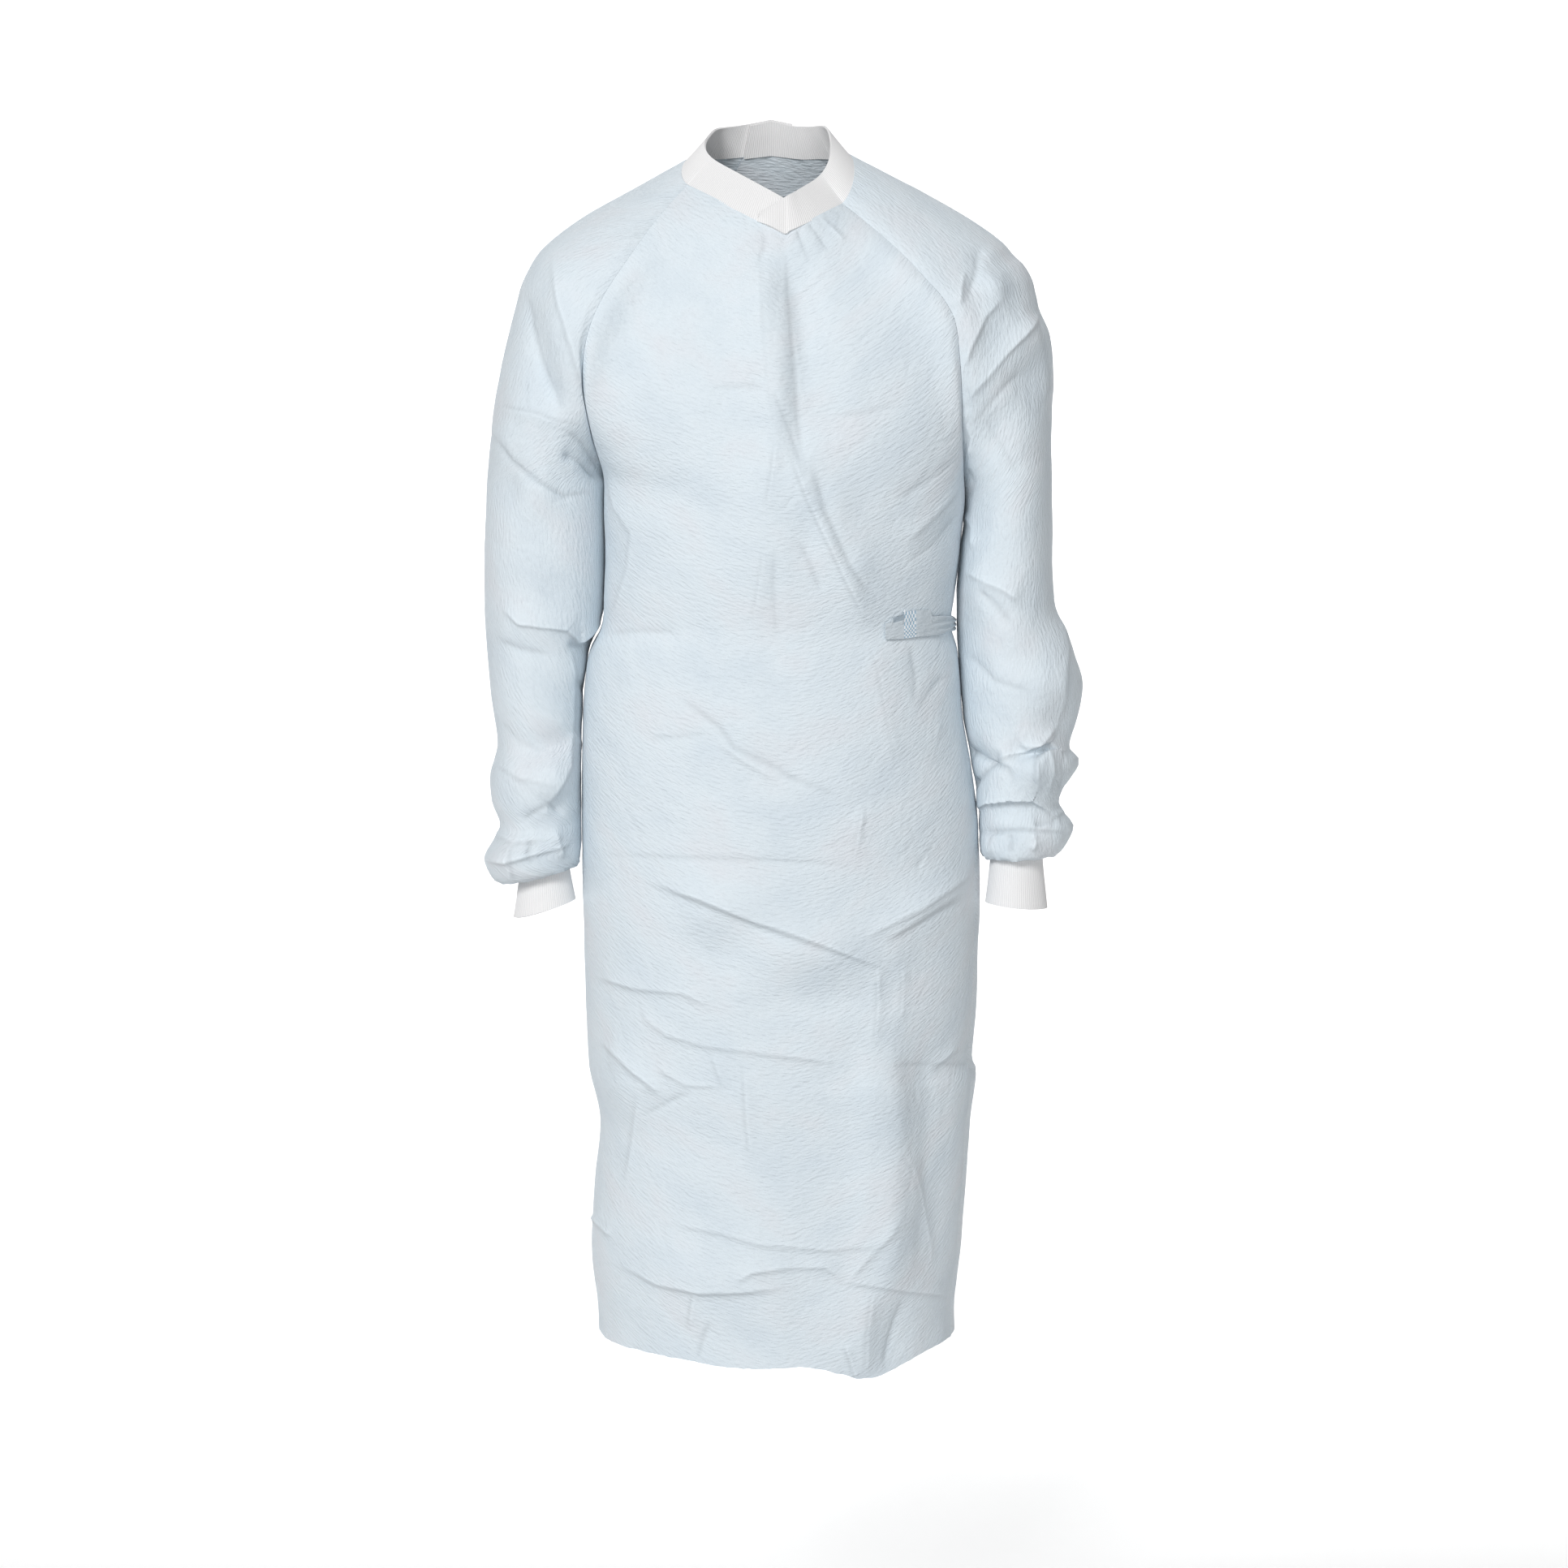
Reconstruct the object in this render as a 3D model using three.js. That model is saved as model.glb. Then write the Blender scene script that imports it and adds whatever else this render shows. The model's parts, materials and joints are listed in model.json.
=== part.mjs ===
// Long-sleeved surgical gown in its worn, hollow form: raglan sleeves, lapped rib-knit neckband,
// rib-knit cuffs, a back that wraps right over left, and a waist tie knotted at the left of the back.
// Millimetres, +Z up. The front faces -Y and the wearer's left is +X.
// The origin is the middle of the neck opening, at the height of the shoulder line.
import * as THREE from "three";

// Driving sizes
const clothThickness = 1.6; // nonwoven panels and ties
const ribThickness = 2; // rib knit of the neckband and cuffs
const seamGap = 0.3; // clear space left between two sewn edges
const layerStep = 3.4; // how far the under side of the lapped back lies inside the outer side
const ovalPower = 0.82; // 1 makes the body sections ellipses, less makes them squarer
const sideY = 6; // the sides of the body lie this far behind the origin
const tieClearance = 1.2; // from the panel below to the tie
const knot = { angle: 131, z: -436, across: 26, tall: 22, deep: 15 };
const lap = { columns: 3, rise: 2.7, fade: 5, tip: 4 }; // left end of the neckband over the right end

// Grid sizes
const raglanRows = 12; // rows from the neck to the armpit, shared by every panel on a raglan seam
const frontColumns = 23;
const halfBackSteps = 11; // columns from a side of the back to its centre
const lapSteps = 5; // columns that a back panel runs on past the centre
const sleeveColumns = 22;
const backColumns = halfBackSteps + lapSteps + 1;
const backReach = lapSteps / halfBackSteps;
const bandRows = 3;

// A table is a list of column names and a row for each section, seam station or fold.
function table(columns, rows) {
  return rows.map((row) =>
    Object.fromEntries(columns.map((name, i) => [name, row[i]])),
  );
}

// Body below the armpits. right and left are the side edges, front and back the centre lines,
// rightSeam and leftSeam the side seams in degrees round from centre front,
// and steps the grid rows to the next section.
const bodySections = table(
  ["place", "zRight", "zLeft", "right", "left", "front", "back", "rightSeam", "leftSeam", "steps"],
  [
    ["armpits", -301, -324, -155, 182, -129, 99, 90, 90, 2],
    ["ribs", -374, -378, -156, 177, -127, 92, 90, 88, 2],
    ["waist tie", -435, -435, -160, 170, -121, 86, 89, 84, 1],
    ["below the tie", -458, -458, -171, 176, -122, 88, 88, 82, 2],
    ["high hip", -520, -520, -178, 181, -126, 100, 86, 79, 2],
    ["hip", -612, -612, -180, 195, -130, 116, 85, 77, 2],
    ["seat", -690, -690, -179, 198, -131, 121, 84, 76, 3],
    ["thigh", -800, -800, -177, 196, -130, 119, 84, 75, 1],
    ["left crease", -847, -847, -175, 192, -130, 116, 84, 75, 1],
    ["below the crease", -863, -863, -173, 196, -131, 117, 84, 75, 1],
    ["right notch", -906, -906, -164, 192, -129, 113, 84, 75, 1],
    ["knee", -957, -957, -169, 188, -130, 111, 84, 75, 2],
    ["right bulge", -1029, -1029, -173, 183, -131, 109, 84, 75, 2],
    ["low fold", -1085, -1085, -167, 177, -130, 107, 84, 75, 1],
    ["hem", -1111, -1111, -166, 178, -130, 106, 84, 75, 0],
  ],
);
const hemCentre = 6; // x of centre front at the hem
const hemFade = 3; // sections above the hem over which its dips die out
const hemDips = table(
  ["x", "halfWidth", "drop"],
  [
    [92, 42, 20],
    [-20, 60, 8],
  ],
);

// Centre front and centre back from the neckline to the armpits, at the stations of the raglan seams.
const centreLines = table(
  ["frontX", "frontY", "frontZ", "backY", "backZ"],
  [
    [13, -84, -73, 64, 10],
    [12, -92, -92, 80, -24],
    [11, -99, -116, 93, -60],
    [10, -106, -142, 103, -100],
    [9, -113, -172, 108, -145],
    [8, -120, -212, 108, -198],
    [8, -126, -262, 104, -254],
    [9, -129, -312, 99, -312],
  ],
);

// Raglan seams from the neck to the armpit. seam is the front seam, back the back seam,
// outer the shoulder and outer-arm line between them, depth half the sleeve from front to back.
const raglanColumns = [
  "seamX", "seamY", "seamZ", "outerX", "outerZ", "backX", "backY", "backZ", "depth",
];
const raglanRight = table(raglanColumns, [
  [-76, -38, -27, -80, -3, -58, 50, 4, 44],
  [-102, -62, -57, -134, -32, -96, 66, -28, 65],
  [-126, -74, -91, -185, -61, -122, 80, -66, 79],
  [-150, -76, -127, -218, -88, -146, 84, -108, 83],
  [-167, -72, -166, -236, -126, -164, 82, -152, 83],
  [-172, -64, -207, -249, -176, -172, 76, -198, 82],
  [-166, -46, -252, -261, -240, -168, 60, -248, 80],
  [-155, 6, -301, -268, -303, -155, 6, -301, 76],
]);
const raglanLeft = table(raglanColumns, [
  [66, -40, -44, 77, -3, 56, 50, 4, 45],
  [92, -62, -66, 132, -29, 92, 66, -28, 65],
  [118, -74, -90, 180, -53, 118, 80, -62, 79],
  [144, -78, -118, 220, -82, 142, 84, -104, 83],
  [167, -76, -150, 246, -128, 162, 82, -150, 83],
  [174, -66, -205, 260, -180, 172, 76, -204, 82],
  [177, -48, -262, 264, -246, 176, 60, -262, 80],
  [182, 6, -324, 264, -318, 182, 6, -324, 76],
]);

// Sleeves below the armpit: the inner and outer edges, how far forward or back the section stands,
// and half its depth. The last two rows turn up inside the blouse to meet the cuff.
const sleeveColumnNames = [
  "place", "innerX", "innerZ", "outerX", "outerZ", "middleY", "depth", "steps",
];
const sleeveRight = table(sleeveColumnNames, [
  ["armpit", -155.8, -301, -268, -303, 6, 76, 2],
  ["upper arm", -160, -374, -270, -374, 8, 73, 2],
  ["elbow", -168.5, -435, -270, -435, 10, 69, 1],
  ["below the elbow", -176, -462, -268, -464, 8, 66, 1],
  ["forearm", -180, -496, -265, -496, 6, 64, 2],
  ["upper hollow", -181.5, -545, -259, -549, 0, 57, 1],
  ["upper puff", -182, -572, -266, -574, -4, 60, 1],
  ["middle", -182.5, -600, -264, -601, -8, 57, 1],
  ["lower hollow", -182.5, -622, -255, -626, -12, 51, 1],
  ["lower puff", -182.5, -644, -270, -653, -16, 53, 1],
  ["blouse fold", -183, -660, -261, -675, -20, 46, 1],
  ["turn-in", -188, -657, -246, -676, -21, 35, 1],
  ["cuff seam", -192, -649, -238, -668, -22, 27, 0],
]);
const sleeveLeft = table(sleeveColumnNames, [
  ["armpit", 182.8, -324, 264, -318, 6, 76, 2],
  ["upper arm", 184, -381, 266, -381, 8, 73, 2],
  ["elbow", 181, -440, 271, -428, 10, 69, 2],
  ["forearm puff", 183, -489, 294, -489, 6, 69, 1],
  ["below the puff", 185.5, -528, 288, -525, 2, 65, 1],
  ["upper hollow", 188, -552, 281, -550, -2, 59, 1],
  ["middle puff", 190, -566, 291, -565, -4, 61, 1],
  ["lower hollow", 200, -604, 272, -601, -10, 51, 1],
  ["lower puff", 200, -622, 287, -624, -13, 55, 1],
  ["blouse fold", 200, -650, 273, -648, -18, 47, 1],
  ["turn-in", 204, -652, 264, -650, -20, 36, 1],
  ["cuff seam", 208, -645, 256, -643, -21, 27, 0],
]);

// Cuffs, from the seam to the open end.
const cuffColumnNames = ["innerX", "innerZ", "outerX", "outerZ", "middleY", "depth"];
const cuffRight = table(cuffColumnNames, [
  [-192.4, -649, -237.6, -668, -22, 26.6],
  [-189, -671, -240, -688, -25, 28],
  [-184.5, -692, -243, -709, -28, 31],
]);
const cuffLeft = table(cuffColumnNames, [
  [208.4, -645, 255.6, -643, -21, 26.6],
  [205.5, -670, 258, -671, -24, 28],
  [202.5, -695, 261, -700, -27, 31],
]);

// How the neckband stands on the neck seam: towards the middle, back and up from the seam to its free edge.
const bandStand = table(
  ["place", "inward", "backward", "up"],
  [
    ["point of the V", 0, 15, 32],
    ["middle of the front", 13, 16, 27],
    ["front raglan seam", 20, 13, 25],
    ["shoulder", 21, 0, 24],
    ["back raglan seam", 12, -9, 27],
    ["centre back", 0, -9, 30],
  ],
);

// Waist tie, in stations round the body: the angle from centre front, the middle height, the width,
// and how far the strip lifts off its clearance.
const tieColumns = ["angle", "z", "width", "lift"];
const tieFromFront = table(tieColumns, [
  [36, -434.5, 15, 0],
  [45, -432.5, 19, 0],
  [52, -431.5, 19, 0],
  [66, -431.5, 18, 0],
  [84, -433, 11, 0.6],
  [105, -434, 12, 0],
  [125.2, -436, 9, 2.5],
]);
const tieFromBack = table(tieColumns, [
  [136.5, -436, 9, 2.5],
  [145, -434, 14, 0],
  [153, -434, 14, 0],
]);
const tieTails = table(
  ["name", "angle", "halfAngle", "length", "swing"],
  [
    ["tie_tail_front", 127.6, 2.7, 118, -4],
    ["tie_tail_back", 134.4, 2.7, 94, 3],
  ],
);

// Main folds, seen from the front or back: from one end to the other, ridges up and troughs down.
const foldColumns = ["place", "x0", "z0", "x1", "z1", "halfWidth", "rise"];
const frontFolds = table(foldColumns, [
  ["centre roll", -12, -84, 18, -275, 24, 9],
  ["beside the roll", 20, -84, 42, -285, 17, -6],
  ["drag to the tie", 24, -262, 96, -424, 19, 6],
  ["middle drag", 0, -250, -4, -400, 20, 5],
  ["across the skirt", -98, -680, 112, -760, 19, 7],
  ["under the skirt fold", -88, -712, 122, -792, 18, -5],
  ["left hip", 186, -660, 86, -730, 18, 6],
  ["left corner", 100, -770, 108, -1090, 26, 10],
  ["beside the corner", 144, -800, 146, -1060, 24, -7],
  ["right thigh", -152, -838, -96, -906, 19, 6],
  ["above the hem", -120, -1034, 34, -1052, 19, 5],
  ["left of the hem", 84, -1050, 78, -1125, 18, 6],
]);
const backFolds = table(foldColumns, [
  ["right blade", -40, -60, -18, -330, 22, 5],
  ["left blade", 64, -120, 30, -400, 18, 4],
  ["right waist", -120, -400, -20, -560, 20, 5],
  ["right skirt", -70, -560, -84, -1080, 30, 7],
  ["centre skirt", 10, -620, 16, -1090, 26, -6],
  ["right hip", -142, -470, -126, -760, 18, 5],
]);
const rightSleeveFolds = table(foldColumns, [
  ["along the armhole", -205, -110, -176, -290, 12, 6],
  ["armpit", -262, -262, -196, -318, 13, 5],
  ["under the armpit", -262, -286, -200, -340, 12, -4],
  ["elbow", -262, -432, -196, -448, 14, 4],
  ["forearm hollow", -236, -576, -190, -532, 14, -6],
  ["forearm", -240, -600, -196, -560, 12, 5],
  ["wrist", -262, -640, -192, -632, 9, 4],
]);
const leftSleeveFolds = table(foldColumns, [
  ["armpit", 190, -235, 250, -150, 13, 6],
  ["under the armpit", 196, -252, 256, -180, 11, -5],
  ["shoulder", 200, -106, 206, -150, 10, 5],
  ["inner elbow", 184, -372, 236, -450, 14, 5],
  ["forearm", 196, -468, 276, -500, 14, 4],
  ["forearm hollow", 216, -556, 284, -520, 13, -6],
  ["above the wrist", 196, -552, 262, -580, 10, 6],
  ["wrist hollow", 204, -610, 284, -614, 8, -5],
]);

// Small vector and curve helpers
const vector = (x, y, z) => new THREE.Vector3(x, y, z);
const mix = THREE.MathUtils.lerp;
const smooth = (t) => THREE.MathUtils.smoothstep(t, 0, 1);
const radians = THREE.MathUtils.degToRad;

// The value of a column part-way down a table, on a cubic that passes its rows without overshooting.
function at(rows, column, place) {
  const last = rows.length - 1;
  const i = Math.min(Math.floor(place), last - 1);
  const t = place - i;
  const value = (k) => rows[k][column];
  const rise = (k) => value(k + 1) - value(k);
  const slope = (k) => {
    if (k === 0 || k === last) return k === 0 ? rise(0) : rise(last - 1);
    const [before, after] = [rise(k - 1), rise(k)];
    return before * after <= 0 ? 0 : (2 * before * after) / (before + after);
  };
  const t2 = t * t;
  const t3 = t2 * t;
  return (
    (2 * t3 - 3 * t2 + 1) * value(i) + (t3 - 2 * t2 + t) * slope(i) +
    (3 * t2 - 2 * t3) * value(i + 1) + (t3 - t2) * slope(i + 1)
  );
}

// The places of the grid rows down a table whose rows say how many steps lead to the next.
function rowPlaces(rows) {
  const places = rows.flatMap((row, i) =>
    Array.from({ length: row.steps }, (_, k) => i + k / row.steps),
  );
  return [...places, rows.length - 1];
}

const raglanPlaces = Array.from(
  { length: raglanRows },
  (_, i) => (i / raglanRows) * (raglanRight.length - 1),
);
const bodyPlaces = rowPlaces(bodySections);

// Height that the folds add at a point seen from the front or back.
function foldRise(folds, x, z) {
  let total = 0;
  for (const fold of folds) {
    const [dx, dz] = [fold.x1 - fold.x0, fold.z1 - fold.z0];
    const along = ((x - fold.x0) * dx + (z - fold.z0) * dz) / (dx * dx + dz * dz);
    if (along <= 0 || along >= 1) continue;
    const off = Math.hypot(x - fold.x0 - along * dx, z - fold.z0 - along * dz);
    const fade = smooth(Math.min(1, 4 * Math.min(along, 1 - along)));
    total += fold.rise * fade * Math.exp(-((off / fold.halfWidth) ** 2));
  }
  return total;
}

// A sheet of cloth is a grid of outer points. Seen from outside, columns run left to right and rows run down.
// Rows from closedFrom on are rings, whose last column is their first.
class Sheet {
  constructor(rowCount, columnCount, point, closedFrom = Infinity) {
    this.rowCount = rowCount;
    this.columnCount = columnCount;
    this.points = [];
    this.index = [];
    for (let r = 0; r < rowCount; r++) {
      this.index.push([]);
      for (let c = 0; c < columnCount; c++) {
        const joined = r >= closedFrom && c === columnCount - 1;
        this.index[r].push(joined ? this.index[r][0] : this.points.length);
        if (!joined) this.points.push(point(r, c));
      }
    }
    this.faces = [];
    for (let r = 0; r + 1 < rowCount; r++) {
      for (let c = 0; c + 1 < columnCount; c++) {
        const [a, b] = [this.index[r][c], this.index[r + 1][c]];
        const [d, e] = [this.index[r + 1][c + 1], this.index[r][c + 1]];
        for (const face of [[a, b, d], [a, d, e]]) {
          if (new Set(face).size === 3) this.faces.push(face);
        }
      }
    }
  }

  normals() {
    const sums = this.points.map(() => vector(0, 0, 0));
    for (const [a, b, c] of this.faces) {
      const [p, q, s] = [this.points[a], this.points[b], this.points[c]];
      const normal = q.clone().sub(p).cross(s.clone().sub(p));
      for (const i of [a, b, c]) sums[i].add(normal);
    }
    return sums.map((normal) => normal.normalize());
  }

  // Moves the points out by the height of the folds, apart from those on a sewn or free edge.
  fold(folds, shows = () => true) {
    const normals = this.normals();
    const edges = new Set(this.rimEdges().flat());
    this.points.forEach((point, i) => {
      if (edges.has(i) || !shows(normals[i])) return;
      point.addScaledVector(normals[i], foldRise(folds, point.x, point.z));
    });
    return this;
  }

  // Draws every edge back into the sheet, half of the gap at a seam.
  drawBack() {
    const normals = this.normals();
    const moves = new Map();
    for (const [a, b] of this.rimEdges()) {
      const along = this.points[b].clone().sub(this.points[a]).normalize();
      for (const i of [a, b]) {
        const inward = normals[i].clone().cross(along);
        moves.set(i, inward.add(moves.get(i) ?? vector(0, 0, 0)));
      }
    }
    for (const [i, move] of moves) this.points[i].add(move.setLength(seamGap * 0.7));
  }

  // The directed edges that only one face uses.
  rimEdges() {
    const key = (a, b) => a * this.points.length + b;
    const used = new Set(this.faces.flatMap(([a, b, c]) => [key(a, b), key(b, c), key(c, a)]));
    return this.faces
      .flatMap(([a, b, c]) => [[a, b], [b, c], [c, a]])
      .filter(([a, b]) => !used.has(key(b, a)));
  }

  // A closed wall: the outer points, the same points moved in, and a rim round every edge.
  wall(thickness, normals = this.normals()) {
    const count = this.points.length;
    const inner = this.points.map((p, i) => p.clone().addScaledVector(normals[i], -thickness));
    const triangles = [...this.faces];
    for (const [a, b, c] of this.faces) triangles.push([a + count, c + count, b + count]);
    for (const [a, b] of this.rimEdges()) {
      triangles.push([b, a, a + count], [b, a + count, b + count]);
    }
    const geometry = new THREE.BufferGeometry();
    const positions = [...this.points, ...inner].flatMap((p) => [p.x, p.y, p.z]);
    geometry.setAttribute("position", new THREE.Float32BufferAttribute(positions, 3));
    geometry.setIndex(triangles.flat());
    geometry.computeVertexNormals();
    return geometry;
  }
}

// Body form below the armpits: angle runs from 0 at centre front to 180 at centre back,
// positive to the wearer's left.
function bodyPoint(place, angle) {
  const section = (column) => at(bodySections, column, place);
  const [sine, cosine] = [Math.sin(radians(angle)), Math.cos(radians(angle))];
  const centreX = mix(centreLines.at(-1).frontX, hemCentre, place / (bodySections.length - 1));
  const side = sine < 0 ? section("right") : section("left");
  const end = cosine > 0 ? section("front") : section("back");
  const x = centreX + (side - centreX) * Math.abs(sine);
  const y = sideY + (end - sideY) * Math.abs(cosine) ** ovalPower;
  const level = mix(section("zRight"), section("zLeft"), (sine + 1) / 2);
  const aboveHem = bodySections.length - 1 - place;
  const hemShare = smooth(1 - aboveHem / hemFade);
  const dip = hemDips.reduce(
    (sum, d) => sum + d.drop * Math.exp(-(((x - d.x) / d.halfWidth) ** 2)), 0,
  );
  return vector(x, y, level - (cosine > 0 ? dip * hemShare : 0));
}

// A row of the chest or upper back, from its centre point to the raglan seam on one side.
function raglanRowPoint(centre, edge, share, place) {
  const turn = smooth(place / (raglanRight.length - 1));
  const quarter = (share * Math.PI) / 2;
  const across = mix(share, Math.sin(quarter), turn);
  const round = mix(share ** 2, 1 - Math.cos(quarter) ** ovalPower, turn);
  const height = mix(share, share ** 2, smooth(place / 2));
  return vector(
    mix(centre.x, edge.x, across), mix(centre.y, edge.y, round), mix(centre.z, edge.z, height),
  );
}

const frontSeam = (raglan, place) =>
  vector(at(raglan, "seamX", place), at(raglan, "seamY", place), at(raglan, "seamZ", place));
const backSeam = (raglan, place) =>
  vector(at(raglan, "backX", place), at(raglan, "backY", place), at(raglan, "backZ", place));

// Front panel: across runs from -1 at the wearer's right edge to 1 at the left edge.
function frontPoint(row, across) {
  if (row >= raglanRows) {
    const place = bodyPlaces[row - raglanRows];
    const seam = at(bodySections, across < 0 ? "rightSeam" : "leftSeam", place);
    return bodyPoint(place, across * seam);
  }
  const place = raglanPlaces[row];
  const centre = vector(
    at(centreLines, "frontX", place), at(centreLines, "frontY", place), at(centreLines, "frontZ", place),
  );
  const edge = frontSeam(across < 0 ? raglanRight : raglanLeft, place);
  return raglanRowPoint(centre, edge, Math.abs(across), place);
}

// Back form: across runs from -1 at the wearer's right edge to 1 at the left edge.
function backPoint(row, across) {
  if (row >= raglanRows) {
    const place = bodyPlaces[row - raglanRows];
    const seam = at(bodySections, across < 0 ? "rightSeam" : "leftSeam", place);
    const angle = 180 - Math.abs(across) * (180 - seam);
    return bodyPoint(place, across < 0 ? -angle : angle);
  }
  const place = raglanPlaces[row];
  const centre = vector(0, at(centreLines, "backY", place), at(centreLines, "backZ", place));
  const edge = backSeam(across < 0 ? raglanRight : raglanLeft, place);
  return raglanRowPoint(centre, edge, Math.abs(across), place);
}

// One hoop of a sleeve: turn runs from -1 at the front edge over 0 on the outer arm to 1 at the back edge.
function hoopPoint(front, back, outer, depth, turn) {
  const middle = front.clone().add(back).multiplyScalar(0.5);
  const outward = vector(outer.x - middle.x, 0, outer.z - middle.z);
  const halfOpening = front.distanceTo(back) / 2;
  const halfDepth = Math.max(depth, halfOpening);
  const reach = Math.PI - Math.asin(halfOpening / halfDepth);
  const halfWidth = outward.length() / (1 - Math.cos(reach));
  const angle = turn * reach;
  const towardsBack = back.clone().sub(front);
  const acrossArm = halfOpening > 1 ? towardsBack.normalize() : vector(0, 1, 0);
  return middle
    .addScaledVector(outward.normalize(), halfWidth * (Math.cos(angle) - Math.cos(reach)))
    .addScaledVector(acrossArm, halfDepth * Math.sin(angle));
}

function ringPoint(rows, place, turn) {
  const value = (column) => at(rows, column, place);
  const inner = vector(value("innerX"), value("middleY"), value("innerZ"));
  const outer = vector(value("outerX"), value("middleY"), value("outerZ"));
  return hoopPoint(inner, inner, outer, value("depth"), turn);
}

function sleevePoint(raglan, rows, places, row, turn) {
  if (row >= raglanRows) return ringPoint(rows, places[row - raglanRows], turn);
  const place = raglanPlaces[row];
  const outer = vector(at(raglan, "outerX", place), 0, at(raglan, "outerZ", place));
  const [front, back] = [frontSeam(raglan, place), backSeam(raglan, place)];
  return hoopPoint(front, back, outer, at(raglan, "depth", place), turn);
}

// Panels
const bodyRows = raglanRows + bodyPlaces.length;
const spread = (c, count, from, to) => mix(from, to, c / (count - 1));

function makeFront() {
  const across = (c) => spread(c, frontColumns, -1, 1);
  return new Sheet(bodyRows, frontColumns, (r, c) => frontPoint(r, across(c))).fold(frontFolds);
}

// Columns of a back panel run from the wearer's left to the right, which is left to right from behind.
function makeBack(from, to, under) {
  const across = (c) => spread(c, backColumns, from, to);
  const sheet = new Sheet(bodyRows, backColumns, (r, c) => backPoint(r, across(c))).fold(backFolds);
  if (!under) return sheet;
  const normals = sheet.normals();
  sheet.points.forEach((point, i) => {
    const inset = layerStep * (1 - smooth((across(i % backColumns) - 0.5) / 0.35));
    point.addScaledVector(normals[i], -inset);
  });
  return sheet;
}

// Columns of the left sleeve run from its front edge to its back edge, those of the right sleeve backwards.
function makeSleeve(raglan, rows, folds, side) {
  const places = rowPlaces(rows);
  const sheet = new Sheet(
    raglanRows + places.length, sleeveColumns,
    (r, c) => sleevePoint(raglan, rows, places, r, side * spread(c, sleeveColumns, -1, 1)),
    raglanRows,
  );
  return sheet.fold(folds, (normal) => normal.y < 0.2);
}

function makeCuff(rows, side) {
  const count = rows.length * 2 - 1;
  return new Sheet(
    count, sleeveColumns, (r, c) => ringPoint(rows, r / 2, side * spread(c, sleeveColumns, -1, 1)), 0,
  );
}

// Half a neckband on a seam of points. Its rows run from the free edge down to the seam,
// and each station says how far down the table of stands a seam point lies, past 5 on the other side.
function makeNeckband(seam, stations, side) {
  const centreBack = bandStand.length - 1;
  return new Sheet(bandRows + 1, seam.length, (r, c) => {
    const past = stations[c] > centreBack;
    const station = past ? 2 * centreBack - stations[c] : stations[c];
    const value = (column) => at(bandStand, column, station) * (1 - r / bandRows);
    const inward = (past ? side : -side) * value("inward");
    return seam[c].clone().add(vector(inward, value("backward"), value("up")));
  });
}

// Tapers the first columns of the left band to a tip on the right neckline, lifted over the right band.
function lapNeckband(sheet) {
  const point = (r, c) => sheet.points[sheet.index[r][c]];
  const tip = point(bandRows, 0).clone().add(vector(0, 0, lap.tip));
  for (let c = 0; c < lap.columns; c++) {
    const edge = tip.clone().lerp(point(0, lap.columns), c / lap.columns);
    for (let r = 0; r < bandRows; r++) point(r, c).lerpVectors(edge, point(bandRows, c), r / bandRows);
  }
  const normals = sheet.normals();
  sheet.points.forEach((p, i) => {
    const past = (i % sheet.columnCount) - lap.columns;
    p.addScaledVector(normals[i], lap.rise * (1 - smooth(past / lap.fade)));
  });
  return sheet;
}

// A point on the body at an angle and a height, moved out from its panel.
function outFromBody(angle, z, out) {
  const surface = (degrees, height) => {
    let [above, below] = [0, bodySections.length - 1];
    while (below - above > 1e-6) {
      const place = (above + below) / 2;
      if (at(bodySections, "zRight", place) > height) above = place;
      else below = place;
    }
    return bodyPoint(above, degrees);
  };
  const round = surface(angle + 0.5, z).sub(surface(angle - 0.5, z));
  const down = surface(angle, z - 2).sub(surface(angle, z + 2));
  const point = surface(angle, z);
  const rise = foldRise(angle < 90 ? frontFolds : backFolds, point.x, point.z);
  return point.addScaledVector(down.cross(round).normalize(), out + rise);
}

const tieOut = tieClearance + clothThickness;
const knotOut = tieClearance + knot.deep / 2;

function makeTie(stations) {
  const perStation = 3;
  return new Sheet(3, (stations.length - 1) * perStation + 1, (r, c) => {
    const value = (column) => at(stations, column, c / perStation);
    return outFromBody(value("angle"), value("z") + value("width") * (0.5 - r / 2), tieOut + value("lift"));
  });
}

function makeTail(tail) {
  const rows = 9;
  const top = knot.z - knot.tall / 2 - 1.9;
  return new Sheet(rows, 3, (r, c) => {
    const share = r / (rows - 1);
    const angle = tail.angle + (c - 1) * tail.halfAngle + tail.swing * share ** 2;
    const out = mix(knotOut, tieOut + 2, smooth(share * 1.4)) + 2 * Math.sin(3 * Math.PI * share) * share;
    return outFromBody(angle, top - tail.length * share, out);
  });
}

function makeKnot() {
  const centre = outFromBody(knot.angle, knot.z, knotOut);
  const outward = outFromBody(knot.angle, knot.z, knotOut + 1).sub(centre);
  const geometry = new THREE.SphereGeometry(0.5, 18, 12);
  geometry.rotateX(Math.PI / 2);
  geometry.scale(knot.across, knot.deep, knot.tall);
  geometry.rotateZ(Math.atan2(outward.y, outward.x) - Math.PI / 2);
  geometry.translate(centre.x, centre.y, centre.z);
  return geometry;
}

// The pieces
const front = makeFront();
const backRight = makeBack(backReach, -1, false);
const backLeft = makeBack(1, -backReach, true);
const sleeveOnRight = makeSleeve(raglanRight, sleeveRight, rightSleeveFolds, -1);
const sleeveOnLeft = makeSleeve(raglanLeft, sleeveLeft, leftSleeveFolds, 1);
const cuffOnRight = makeCuff(cuffRight, -1);
const cuffOnLeft = makeCuff(cuffLeft, 1);

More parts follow.
